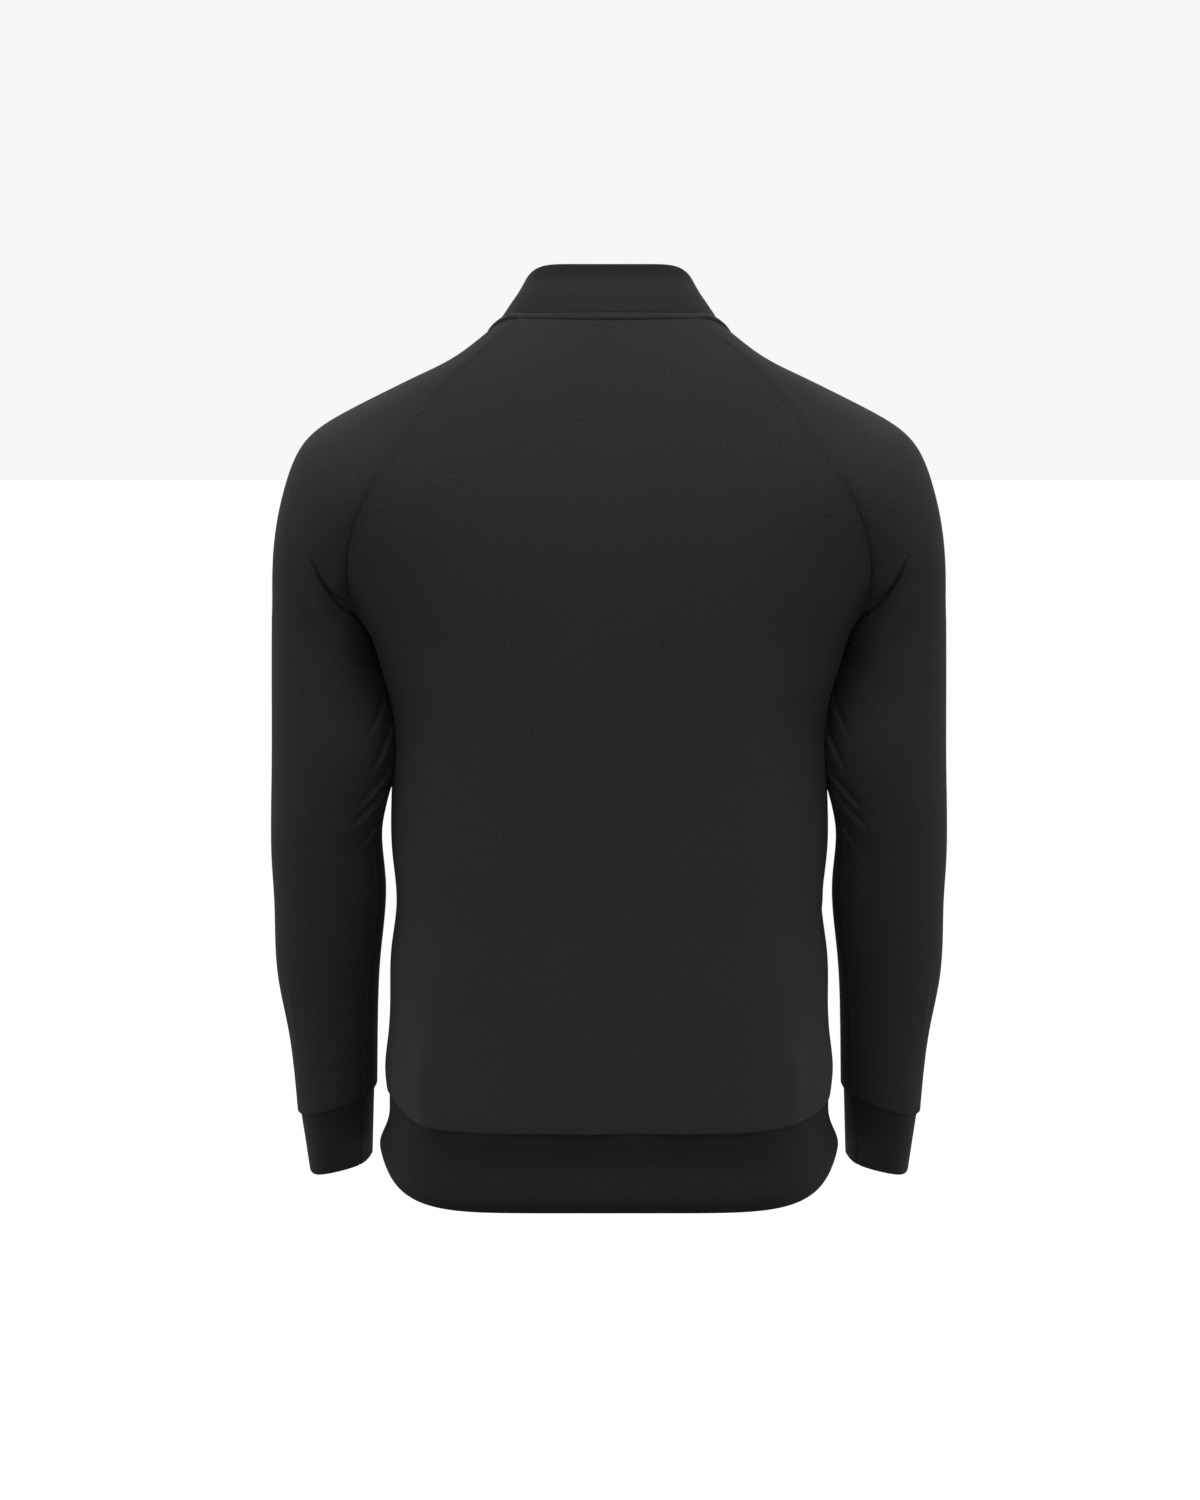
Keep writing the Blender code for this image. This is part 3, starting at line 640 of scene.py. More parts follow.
# Sections of the sleeve head: the outermost point, how far the cloth runs straight from each
# seam and at the outermost point, the heading with which it leaves the seam in degrees, how
# much it still rises there, and how free it is of the panel's slope.
Section = namedtuple("Section", "x y height back_leave back_arrive front_leave front_arrive "
                                "heading rise free")
SLEEVE_HEAD = table(
    Section,
    (0.0885, -0.003, -0.0062, 0.017, 0.03, 0.02, 0.03, -30, 0.35, 0.0),
    (0.116, -0.012, -0.0251, 0.019, 0.04, 0.025, 0.041, -50, 0.15, 0.35),
    (0.149, -0.016, -0.0389, 0.022, 0.05, 0.03, 0.05, -55, 0.08, 0.45),
    (0.196, -0.008, -0.0614, 0.028, 0.056, 0.036, 0.056, -40, 0.0, 0.3),
    (0.2295, 0.0, -0.0846, 0.032, 0.058, 0.04, 0.062, -8, 0.0, 0.15),
    (0.2447, 0.0, -0.117, 0.04, 0.068, 0.046, 0.072, 12, 0.0, 0.6),
    (0.252, 0.0, -0.148, 0.046, 0.082, 0.052, 0.084, 37, 0.0, 1.0),
    (0.2556, 0.0, -0.179, 0.064, 0.092, 0.066, 0.09, 63, 0.0, 1.0),
    (0.257, 0.0, -0.215, 0.09, 0.092, 0.088, 0.09, 90, 0.0, 1.0))

# Below the armpit: the point nearest the body, the outermost point, the half depths, how far
# behind the nearest point the sleeve's own seam runs, and how much rounder it is behind toward
# the body than away from it.
Ring = namedtuple("Ring", "inner_x inner_y inner_height outer_x outer_y outer_height back front "
                          "seam lean")
SLEEVE_RINGS = table(
    Ring,
    (0.1716, 0.003, -0.262, 0.2579, 0.0, -0.256, 0.068, 0.067, 0.004, 0.16),
    (0.1632, 0.014, -0.3, 0.2588, -0.001, -0.3, 0.064, 0.064, 0.01, 0.22),
    (0.1644, 0.014, -0.34, 0.26, -0.002, -0.342, 0.06, 0.061, 0.017, 0.24),
    (0.1745, 0.004, -0.385, 0.2617, -0.005, -0.4, 0.055, 0.056, 0.022, 0.2),
    (0.173, -0.008, -0.433, 0.2607, -0.01, -0.445, 0.052, 0.053, 0.026, 0.14),
    (0.1788, -0.021, -0.49, 0.2605, -0.019, -0.5, 0.048, 0.049, 0.028, 0.08),
    (0.1826, -0.033, -0.545, 0.2532, -0.03, -0.555, 0.044, 0.045, 0.031, 0.03),
    (0.1848, -0.046, -0.602, 0.2484, -0.038, -0.62, 0.04, 0.041, 0.032, 0.0))
WRIST = ARMPIT + len(SLEEVE_RINGS)
FULL_HALF = 4 / 3          # reach of a cubic that makes half an oval, for a depth of 1
LEAN_GAIN = 0.6            # share of a ring's lean that is added away from the body

# Around the armpit each section is averaged with its neighbours, so the underarm is rounded.
SOFTENING_SPREAD = 0.60    # how many sections away a neighbour counts much less
SOFTENING_WINDOW = 2       # the average reaches this many spreads to each side,
SOFTENING_STEPS = 9        # in this many steps
SOFTENING_REACH = 1.6      # sections from the armpit over which the rounding fades out
SOFTENING_EDGE = 0.2       # and the share of a section, beside the seams, over which it fades in
SECTION_STEP = 0.05        # step along the seam that gives its direction
SEAM_DEPTH_LEAST = 0.004   # nearer the middle than this the panel's slope is not read

outer_values = curve(range(WRIST + 1), [row[:-1] for row in SLEEVE_HEAD] + [
    (ring.outer_x, ring.outer_y, ring.outer_height, ring.back * FULL_HALF * (1 - ring.lean),
     ring.back * FULL_HALF * (1 + LEAN_GAIN * ring.lean), ring.front * FULL_HALF,
     ring.front * FULL_HALF, 90, 0) for ring in SLEEVE_RINGS])
inner_point = curve(range(ARMPIT, WRIST + 1), [(BACK_SEAM[-1].x, 0.0, BACK_SEAM[-1].height)] + [
    ring[:3] for ring in SLEEVE_RINGS])
freedom = curve(range(ARMPIT + 1), [row.free for row in SLEEVE_HEAD])
seam_shift = curve(range(ARMPIT, WRIST + 1), [0.0] + [ring.seam for ring in SLEEVE_RINGS])


def panel_normal(panel, section):
    """Outward direction of a panel at its raglan seam."""
    edge, centre_height, (depth, flatness, roundness), reach = panel_row(panel, section)
    share = max(edge[1], SEAM_DEPTH_LEAST) / depth
    fall = (-depth / reach * flatness / roundness
            * (edge[0] / reach) ** (flatness - 1) / share ** (roundness - 1))
    along_row = np.array([1.0, panel.side * fall, 2 * (edge[2] - centre_height) / edge[0]])
    before = panel_row(panel, max(section - SECTION_STEP, 0))[0]
    after = panel_row(panel, min(section + SECTION_STEP, ARMPIT))[0]
    normal = unit(np.cross(along_row, (before - after) * (1, panel.side, 1)))
    return normal * math.copysign(1, normal[1] * panel.side)


def arc(start, leave, arrive, end):
    """Cubic from start to end, leave and arrive being how it runs on at each of them."""
    along = np.linspace(0, 1, LINE_POINTS)[:, None]
    rest = 1 - along
    points = (start * rest ** 3 + 3 * (start + leave) * rest ** 2 * along
              + 3 * (end + arrive) * rest * along ** 2 + end * along ** 3)
    return read_line(points, np.linspace(0, lengths(points)[-1], HALF_SLEEVE_COLUMNS + 1))


def half_section(section, panel):
    """Half a section of the left sleeve, from its seam to the outermost point."""
    values = outer_values(section)
    outer = values[:3]
    leave, arrive = values[3:5] if panel.side > 0 else values[5:7]
    heading = math.radians(min(values[7], 90.0))
    across = np.array([0.0, float(panel.side), 0.0])
    over = unit(across + (0.0, 0.0, panel.side * values[8]))
    if section < ARMPIT:
        start = panel_row(panel, section)[0] * (1, panel.side, 1)
        free = min(max(float(freedom(section)), 0.0), 1.0)
        normal = panel_normal(panel, section)
        toward = outer - start
        tangent = unit(toward - normal * (toward @ normal))
    else:
        start = inner_point(section)
        free = 1.0
        toward = outer - start
        tangent = across
    own = unit(toward * (1, 0, 1)) * math.cos(heading) + across * math.sin(heading)
    direction = unit(tangent * (1 - free) + own * free)
    start = start + np.array([UNDERARM_GAP * free, 0.0, 0.0])
    return arc(start, direction * leave, over * arrive, outer)


def raw_section(section):
    """A section of the left sleeve before it is softened around the armpit."""
    return np.concatenate([half_section(section, BACK), half_section(section, FRONT)[-2::-1]])


def sleeve_section(section):
    """Section of the left sleeve: back seam, outermost point, front seam."""
    exact = raw_section(section)
    near = bell(section - ARMPIT, SOFTENING_REACH)
    steps = np.linspace(-SOFTENING_WINDOW, SOFTENING_WINDOW, SOFTENING_STEPS)
    shares = np.exp(-steps ** 2 / 2)
    shares = shares / shares.sum()
    soft = sum(share * raw_section(section + step * SOFTENING_SPREAD)
               for step, share in zip(steps, shares))
    place = np.linspace(0, 1, len(exact))
    inward = ease(np.minimum(place, 1 - place) / SOFTENING_EDGE)
    return exact + (soft - exact) * (near * inward)[:, None]


def from_seam(loop, shift):
    """A closed line, started from a point this far along it and ended there again."""
    length = lengths(loop)[-1]
    twice = np.concatenate([loop, loop[1:]])
    return read_line(twice, shift + places_along(length, SLEEVE_COLUMNS, first=True, last=True))


def sleeve_grid():
    """Left sleeve from the neck to the cuff seam."""
    rows = []
    for section in HEAD:
        line = sleeve_section(section)
        rows.append(read_line(line, places_along(lengths(line)[-1], SLEEVE_COLUMNS, first=True,
                                                 last=True)))
    numbers = np.linspace(ARMPIT, WRIST, LINE_POINTS)
    run = lengths(outer_values(numbers)[:, :3])
    places = places_along(run[-1], round(run[-1] / SLEEVE_ROW_STEP), last=True)[1:]
    for section in np.interp(places, run, numbers):
        rows.append(from_seam(sleeve_section(section), float(seam_shift(section))))
    return from_neck(np.array(rows))


# Creases of the left sleeve. The sharp ones at the armpit and the elbow are folds, where one
# side of the cloth hangs over the other.
SLEEVE_CREASES = table(
    Crease,
    # armpit, behind
    (((0.187, 0.024, -0.222), (0.192, 0.035, -0.2165), (0.197, 0.044, -0.2105),
     (0.202, 0.055, -0.202), (0.208, 0.066, -0.191), (0.2145, 0.075, -0.1795),
     (0.218, 0.077, -0.171), (0.222, 0.078, -0.162)), (0.7, 0.8, 0.8, 0.9, 1.0, 0.9, 0.5, 0.0),
     0.0012, 0.004, 0.0005, 0.0002),
    (((0.187, 0.024, -0.222), (0.197, 0.044, -0.2105), (0.208, 0.066, -0.191),
     (0.2145, 0.075, -0.1795)), (0.6, 1.0, 1.0, 0.2), 0.007, 0.0, 0.0028),
    (((0.217, 0.077, -0.172), (0.2085, 0.0675, -0.19), (0.2, 0.058, -0.1965)), (0.0, 1.0, 0.6),
     0.005, 0.0, 0.002),
    (((0.208, 0.067, -0.214), (0.2, 0.06, -0.223), (0.191, 0.046, -0.229), (0.186, 0.036, -0.23)),
     (0.0, 1.0, 1.0, 0.6), 0.007, 0.0, 0.0028),
    (((0.2085, 0.068, -0.19), (0.2045, 0.063, -0.194), (0.2, 0.058, -0.1962),
     (0.195, 0.055, -0.1976), (0.1925, 0.054, -0.1982)), (0.6, 0.9, 1.0, 1.0, 1.0), 0.0012, 0.0032,
     0.0003),
    (((0.202, 0.056, -0.2), (0.196, 0.048, -0.206), (0.191, 0.038, -0.213), (0.186, 0.02, -0.22)),
     (0.0, 0.6, 1.0, 1.0), 0.003, 0.0026),
    (((0.1975, 0.056, -0.2335), (0.192, 0.05, -0.2345), (0.186, 0.038, -0.2355),
     (0.178, 0.016, -0.236)), (0.0, 0.6, 0.8, 0.8), 0.0016, 0.0024, 0.0004),
    (((0.194, 0.054, -0.244), (0.187, 0.042, -0.245), (0.178, 0.022, -0.246)), (0.2, 1.0, 1.0),
     0.0065, 0.0026),
    # inside of the arm, above the elbow
    (((0.169, 0.026, -0.277), (0.1725, 0.036, -0.284), (0.179, 0.046, -0.295),
     (0.186, 0.053, -0.304)), (0.9, 0.9, 0.6, 0.0), 0.0018, 0.003, 0.0008),
    (((0.166, 0.016, -0.295), (0.17, 0.032, -0.304), (0.176, 0.043, -0.3175),
     (0.182, 0.05, -0.33)), (0.9, 1.0, 0.7, 0.0), 0.0022, 0.0036, 0.001),
    # elbow, behind
    (((0.1655, 0.01, -0.32), (0.169, 0.024, -0.328), (0.1745, 0.037, -0.337),
     (0.182, 0.046, -0.348), (0.191, 0.053, -0.359)), (1.0, 1.2, 1.1, 0.8, 0.0), 0.002, 0.0046,
     0.0008, 0.0006),
    (((0.1672, 0.014, -0.3405), (0.1725, 0.03, -0.35), (0.18, 0.0435, -0.361),
     (0.188, 0.05, -0.369), (0.195, 0.055, -0.377)), (0.8, 1.0, 1.0, 0.6, 0.0), 0.0024, 0.0034,
     0.0006),
    (((0.1757, 0.019, -0.3737), (0.18, 0.03, -0.381), (0.186, 0.04, -0.39)), (0.9, 1.0, 0.1),
     0.0018, 0.003, 0.001),
    (((0.179, 0.048, -0.352), (0.203, 0.059, -0.3642), (0.226, 0.055, -0.3781)), (0.4, 1.0, 0.0),
     0.006, 0.0, 0.0011),
    # forearm, along its outer side
    (((0.2505, 0.0144, -0.4925), (0.2495, 0.004, -0.524), (0.247, -0.007, -0.556)),
     (0.0, 1.0, 0.3), 0.0022, 0.0004, 0.0009),
    # armpit, in front
    (((0.224, -0.078, -0.166), (0.215, -0.075, -0.181), (0.206, -0.065, -0.196),
     (0.196, -0.046, -0.212), (0.188, -0.028, -0.222)), (0.0, 0.8, 1.0, 1.1, 0.9), 0.0018, 0.0038,
     0.0014, 0.0008),
    (((0.195, -0.056, -0.2), (0.202, -0.062, -0.197), (0.21, -0.07, -0.19)), (0.9, 1.0, 0.2),
     0.0014, 0.0026, 0.0009),
    (((0.178, -0.016, -0.241), (0.187, -0.038, -0.243), (0.199, -0.056, -0.24)), (0.7, 1.0, 0.0),
     0.002, 0.0026, 0.001),
    # elbow, in front, where the bent arm presses the cloth together
    (((0.167, -0.018, -0.33), (0.18, -0.048, -0.338), (0.2, -0.061, -0.342),
     (0.22, -0.062, -0.34)), (0.8, 1.0, 0.7, 0.0), 0.0036, 0.0038, 0.0016),
    (((0.171, -0.03, -0.366), (0.188, -0.056, -0.373), (0.21, -0.066, -0.372),
     (0.236, -0.056, -0.362)), (0.7, 1.0, 0.9, 0.0), 0.004, 0.0042, 0.002),
    (((0.174, -0.04, -0.402), (0.192, -0.062, -0.402), (0.214, -0.067, -0.394)), (0.5, 0.9, 0.0),
     0.004, 0.003, 0.0014),
    # forearm, in front
    (((0.183, -0.072, -0.52), (0.205, -0.078, -0.527), (0.226, -0.074, -0.522)), (0.0, 0.8, 0.0),
     0.005, 0.0014, 0.0008))
CREASE_END = 0.0022        # beside a seam the creases fade out over this length
FineStep = namedtuple("FineStep", "width reach")
FINE_STEPS = (             # each splits the mesh once this near to creases narrower than width
    FineStep(0.0035, 0.0060), FineStep(0.0025, 0.0046), FineStep(0.0013, 0.0048),
)


def cloth_points(piece):
    """Points of a piece's mesh and the outward directions there."""
    points = np.empty(len(piece.data.vertices) * 3)
    out = points.copy()
    piece.data.vertices.foreach_get("co", points)
    piece.data.vertex_normals.foreach_get("vector", out)
    return points.reshape(-1, 3), out.reshape(-1, 3)


def refined(piece):
    """Splits a piece's mesh finer beside its sharp creases."""
    points, out = cloth_points(piece)
    mesh = bmesh.new()
    mesh.from_mesh(piece.data)
    for step in FINE_STEPS:
        places = np.array([face.calc_center_median() for face in mesh.faces])
        close = np.zeros(len(places), bool)
        for crease in SLEEVE_CREASES:
            if crease.width < step.width:
                for point in on_cloth(crease_path(crease)[0], points, out)[0]:
                    close |= ((places - point) ** 2).sum(axis=1) < step.reach ** 2
        mesh.faces.ensure_lookup_table()
        edges = dict.fromkeys(edge for index in np.where(close)[0]
                              for edge in mesh.faces[index].edges)
        bmesh.ops.subdivide_edges(mesh, edges=list(edges), cuts=1, use_grid_fill=True)
    mesh.to_mesh(piece.data)
    mesh.free()


def creased(piece):
    """Presses the sleeve's creases into its mesh. They end just before its seams."""
    points, out = cloth_points(piece)
    seam = np.concatenate([back_base[:len(HEAD), 0], front_base[:len(HEAD), -1],
                           sleeve_base[len(HEAD):, 0]])
    free = np.ones(len(points))
    for point in seam:
        distance = np.linalg.norm(points - point, axis=1)
        free = np.minimum(free, ease((distance - SEAM_UNDER_WIDTH) / CREASE_END))
    moved = points + pressed(points, out, SLEEVE_CREASES) * free[:, None]
    piece.data.vertices.foreach_set("co", moved.ravel())
    piece.data.update()


def hump(share):
    """0 at a share of 0, rising to 1 at a share of 1 and fading away past it."""
    return share * np.exp(1 - share)


def sleeve_cloth():
    """The left sleeve's grid, as cut and with its edges turned in. Its columns run clockwise."""
    grid = sleeve_grid()
    first, last = distances(grid, 1)
    edge = np.minimum(first, last)
    top, bottom = distances(grid, 0)
    below = (np.arange(len(grid)) >= len(HEAD) - 1)[:, None]
    lift = roll(edge, *UNDERARM_ROLL) * below + roll(bottom, *CUFF_SEAM_ROLL)
    lift = lift - NECK_SINK * ease(1 - top / NECK_SINK_WIDTH)
    lift = lift - seam_share(len(grid), SHOULDER_FALL, 0.0) * hump(edge / SHOULDER_FALL_WIDTH)
    lift = lift + seam_share(len(grid), 0.0, SWELL) * hump(first / SWELL_WIDTH)
    cloth = grid - normals(grid) * lift[..., None]
    head = len(HEAD)
    for panel, edge_column, inner_column, distance in (
            (back_base, 0, 4, first[:head]), (front_base, -1, -5, last[:head])):
        inward = unit(panel[:head, inner_column] - panel[:head, edge_column])
        out = normals(panel)[:head, edge_column]
        under = ease(1 - distance / SEAM_UNDER_WIDTH)
        sink = SEAM_LAP * under + seam_share(head, *SEAM_TUCK) * bell(distance, SEAM_TUCK_WIDTH)
        cloth[:head] += (inward[:, None] * (SEAM_UNDER * under)[..., None]
                         - out[:, None] * sink[..., None])
    return grid, cloth


sleeve_knit = knit_material("sleeve_knit", grey=0.0214, wale=0.0009, course=0.0007, change=0.16,
                            relief=0.00012, sheen=0.02)
sleeve_base, sleeve_left_grid = sleeve_cloth()
left_sleeve = new_piece("left_sleeve", sleeve_left_grid[:, ::-1], sleeve_knit, SLEEVE_WALL,
                        closed_from=len(HEAD) - 1)
refined(left_sleeve)
creased(left_sleeve)
right_sleeve = left_sleeve.copy()
right_sleeve.name = "right_sleeve"
right_sleeve.data = left_sleeve.data.copy()
right_sleeve.data.name = "right_sleeve"
right_sleeve.data.transform(Matrix.Scale(-1, 4, (1, 0, 0)))
right_sleeve.data.flip_normals()
link(right_sleeve)
for piece, node in ((left_sleeve, "sleeve_left"), (right_sleeve, "sleeve_right")):
    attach(piece, "root")
    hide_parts(node)

# ------------------------------------------------------------ stand collar
# A stand-up collar of fine rib knit, folded double along its top edge. Its base is caught in
# the neck seam behind the turned edges of the body and the sleeves.
COLLAR_WALL = 0.0028
COLLAR_HALF_WIDTH = 0.0616
COLLAR_BACK_DEPTH = 0.0450
COLLAR_FRONT_DEPTH = 0.0540
COLLAR_BACK_HEIGHT = 0.0487
COLLAR_SIDE_HEIGHT = 0.0367
COLLAR_FRONT_HEIGHT = -0.0150
COLLAR_SQUARENESS = 2.5    # power of its oval, seen from above
COLLAR_BACK_LEVEL = 8.5    # power of its top edge behind, which stays level to near its sides
COLLAR_FRONT_DROP = 1.6    # and in front, where it drops
COLLAR_UPRIGHT = 0.05      # it leans in this much sooner than it rises
COLLAR_INSET = 0.0012      # the collar stands this far inside the neck edge
COLLAR_TUCK = 0.07         # share of its height that is hidden below the seam
COLLAR_UNDER = 0.0055      # how far that hidden edge turns in
COLLAR_ROWS = 34
RIB_PITCH = 0.0020
RIB_COLUMNS = 4
RIB_HEIGHT = 0.00006
COLLAR_RISE = 0.035        # height of the cloth that shows behind
LIP = 0.0012               # the folded top edge stands out this far
LIP_WIDTH = 0.0035
HOLLOW = 0.0017            # and the cloth this far below it draws in this much
HOLLOW_DROP = 0.0110
HOLLOW_WIDTH = 0.0062
FOLD_STEPS = 9


def neck_rows(back_rows, front_rows, sleeve_rows):
    """Rows round the whole neck, anticlockwise from the left raglan seam behind."""
    right_rows = sleeve_rows * (-1, 1, 1)
    return np.concatenate([back_rows, right_rows[:, 1:], front_rows[:, 1:],
                           sleeve_rows[:, ::-1][:, 1:]], axis=1)


def respaced(rows, count):
    """Rows read again at count + 1 columns, evenly spaced along the first row."""
    run = lengths(rows[0])
    return np.stack([between(np.linspace(0, run[-1], count + 1), run, row) for row in rows])


def folded(outer, wall, rows, texture=None):
    """Both layers of a strip that is folded along the last row of outer: along the outside,
    round the fold and back inside, as rows that end where they began."""
    count = len(outer) - 1
    length = distances(outer, 0)[0][-1]
    radius = wall / 2
    turn = np.linspace(0, math.pi, FOLD_STEPS)
    straight = np.linspace(0, 1, rows + 1)[:, None] * (1 - radius / length)
    bend = 1 - radius * (1 - np.sin(turn[1:-1]))[:, None] / length
    share = np.concatenate([straight, bend, straight[::-1], straight[:1]])
    offset = np.concatenate([np.zeros(rows + 1), radius * (np.cos(turn[1:-1]) - 1),
                             np.full(rows + 1, -wall), [0.0]])
    knots = np.arange(count + 1)
    points, out = (np.stack([between(at * count, knots, column) for at, column in
                             zip(share.T, grid.swapaxes(0, 1))], axis=1)
                   for grid in (outer, normals(outer, closed=True)))
    offset = np.repeat(offset[:, None], outer.shape[1], axis=1)
    if texture is not None:
        offset = offset + texture * np.where(offset > -radius, 1, -1)
    return points + unit(out) * offset[..., None]


def strip_map(grid):
    """Places on a folded strip: across along the ring, down over both layers."""
    down = distances(grid, 0)[0].mean(axis=1)
    return np.stack([distances(grid, 1)[0], np.repeat(down[:, None], grid.shape[1], axis=1)],
                    axis=2)


def collar_surface(base):
    """Outer surface of the collar, from just below the neck seam up to the folded edge."""
    turn = np.arctan2(base[:, 1] / COLLAR_BACK_DEPTH, base[:, 0] / COLLAR_HALF_WIDTH)
    cosine = np.cos(turn)
    sine = np.sin(turn)
    stretch = (np.abs(cosine) ** COLLAR_SQUARENESS
               + np.abs(sine) ** COLLAR_SQUARENESS) ** (-1 / COLLAR_SQUARENESS)
    depth = np.where(sine > 0, COLLAR_BACK_DEPTH, COLLAR_FRONT_DEPTH)
    across = cosine * stretch
    behind = (COLLAR_BACK_HEIGHT
              - (COLLAR_BACK_HEIGHT - COLLAR_SIDE_HEIGHT) * np.abs(across) ** COLLAR_BACK_LEVEL)
    ahead = (COLLAR_SIDE_HEIGHT
             - (COLLAR_SIDE_HEIGHT - COLLAR_FRONT_HEIGHT) * np.abs(sine) ** COLLAR_FRONT_DROP)
    top = np.stack([COLLAR_HALF_WIDTH * across, depth * sine * stretch,
                    np.where(sine > 0, behind, ahead)], axis=1)
    inward = unit(-base * (1, 1, 0))
    base = base + inward * COLLAR_INSET
    rows = []
    for share in np.linspace(-COLLAR_TUCK, 1, COLLAR_ROWS + 1):
        lean = share * (1 + COLLAR_UPRIGHT * (1 - share))
        drop = (1 - share) * COLLAR_RISE
        shape = LIP * bell(drop, LIP_WIDTH) - HOLLOW * bell(drop - HOLLOW_DROP, HOLLOW_WIDTH)
        shape = shape * np.abs(sine)[:, None]
        under = COLLAR_UNDER * max(-share, 0) / COLLAR_TUCK
        rows.append(base + (top - base) * (lean, lean, share) + inward * (under - shape))
    return np.array(rows)


rib_cloth = knit_material("collar_rib", grey=0.0185, wale=0.0010, course=0.0007, change=0.14,
                          relief=0.00010, sheen=0.06)
neck_base = neck_rows(back_base[:1], front_base[:1], sleeve_base[:1])
ribs = round(lengths(neck_base[0])[-1] / RIB_PITCH)
collar_outer = collar_surface(respaced(neck_base, ribs * RIB_COLUMNS)[0])
rib = RIB_HEIGHT * np.cos(np.arange(ribs * RIB_COLUMNS + 1) * 2 * math.pi / RIB_COLUMNS)
collar_grid = folded(collar_outer[:, ::-1], COLLAR_WALL, COLLAR_ROWS, rib[None])
collar = new_piece("stand_collar", collar_grid, rib_cloth, closed_from=0,
                   cloth=strip_map(collar_grid), ring=True)

# A flat tape covers the neck seam all round, sewn down along its lower edge.
TAPE_PROFILE = (           # distance from the neck edge, and height above the cloth
    (-0.0003, -0.0016), (-0.0006, -0.0006), (-0.0005, 0.0002), (-0.0001, 0.0008),
    (0.0006, 0.0010), (0.0016, 0.0011), (0.0028, 0.0011), (0.0038, 0.0010), (0.0044, 0.0009),
    (0.0049, 0.0008), (0.0053, 0.0005), (0.0056, -0.0001), (0.0059, -0.0010),
)
TAPE_ROWS = 10             # rows of the body's own mesh that it lies on
STITCH_PITCH = 0.0023
STITCH_COLUMNS = 6
STITCH_DEPTH = 0.0008
STITCH_PLACE = 0.0051      # from the neck edge
STITCH_WIDTH = 0.0005


def tape_surface():
    """The neck tape round the whole neck, its rows running down."""
    under = neck_rows(back_base[:TAPE_ROWS], front_base[:TAPE_ROWS], sleeve_base[:TAPE_ROWS])
    stitches = round(lengths(under[0])[-1] / STITCH_PITCH)
    under = respaced(under, stitches * STITCH_COLUMNS)
    out = normals(under, closed=True)[1]
    upward = unit(under[0] - under[1])
    phase = np.arange(under.shape[1]) * 2 * math.pi / STITCH_COLUMNS
    places = [max(place, 0) for place, height in TAPE_PROFILE]
    rows = np.stack([read_line(under[:, column], places) for column in range(under.shape[1])],
                    axis=1)
    for row, (place, height) in zip(rows, TAPE_PROFILE):
        stitch = STITCH_DEPTH * bell(place - STITCH_PLACE, STITCH_WIDTH) * (1 + np.cos(phase)) / 2
        row += upward * max(-place, 0) + out * (height - stitch)[:, None]
    return rows


tape_grid = tape_surface()
tape_cloth = knit_material("neck_tape", grey=0.0230, wale=0.0008, course=0.0006, change=0.12,
                           relief=0.00008, sheen=0.06)
tape = new_piece("neck_tape", tape_grid, tape_cloth, closed_from=0)
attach(tape, "root")
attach(collar, "root")
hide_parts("collar")

# ------------------------------------------------------------ hem band
# A band of plain rib knit round the bottom, folded double along its lower edge and sewn up
# behind the turned edge of the panels, which overhangs it.
BAND_WALL = 0.0028
BAND_ROWS = 26
BandRow = namedtuple("BandRow", "drop flare")
HEM_BAND = table(
    BandRow, (-0.004, -0.0026), (0.0, -0.0021), (0.012, -0.0017), (0.024, -0.001), (0.034, 0.0018),
    (0.042, 0.0048), (0.048, 0.0062), (0.055, 0.006), (0.0605, 0.0042))
HEM_SIDE_SHARE = 0.85      # at its sides the band is only this share as high,
HEM_SIDE_POWER = 18.0      # and only right beside them


def band_surface():
    """Outer surface of the hem band, from just above the hem seam down to the folded edge."""
    ring = np.concatenate([back_base[-1], front_base[-1][1:]])
    along = np.roll(ring[:-1], -1, axis=0) - np.roll(ring[:-1], 1, axis=0)
    along = np.concatenate([along, along[:1]])
    outward = unit(np.stack([along[:, 1], -along[:, 0]], axis=1))
    side = np.abs(ring[:, 0]) / np.abs(ring[:, 0]).max()
    height_share = 1 - (1 - HEM_SIDE_SHARE) * side ** HEM_SIDE_POWER
    flare = curve([row.drop for row in HEM_BAND], [row.flare for row in HEM_BAND])
    rows = []
    for drop in np.linspace(HEM_BAND[0].drop, HEM_BAND[-1].drop, BAND_ROWS + 1):
        line = ring.copy()
        line[:, :2] += outward * float(flare(drop))
        line[:, 2] = HEM_SEAM_HEIGHT - drop * height_share
        rows.append(line)
    return np.array(rows)


# The band's grey is partly the rib's own darker tone and partly painted shade: it is darker still
# so that the whole band, its upturned flare too, reads as shaded below the body.
band_shaded_cloth = knit_material("band_rib", grey=0.0090, wale=0.0010, course=0.0008, change=0.14,
                           relief=0.00012, sheen=0.02)
band_grid = folded(band_surface(), BAND_WALL, BAND_ROWS)
band = new_piece("bottom_band", band_grid, band_shaded_cloth, closed_from=0, cloth=strip_map(band_grid),
                 ring=True)
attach(band, "root")
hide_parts("hem_band")

# ------------------------------------------------------------ cuffs
# A cuff of the same rib knit at each wrist, folded double along its open edge, sewn inside the
# sleeve's turned end and closed by a seam in line with the sleeve's.
CUFF_WALL = 0.0026
CUFF_INSET = 0.075
CUFF_TUCK = 0.06
CUFF_ROWS = 26
CUFF_HEM = Ring(0.1912, -0.060, -0.6680, 0.2406, -0.050, -0.6768, 0.036, 0.037, 0.030, 0.0)
CUFF_CORNER = 0.0038       # how far the open edge rises at its outer and inner ends
CUFF_CORNER_POWER = 8
CUFF_RISE = 0.0050         # how much higher the open edge runs behind


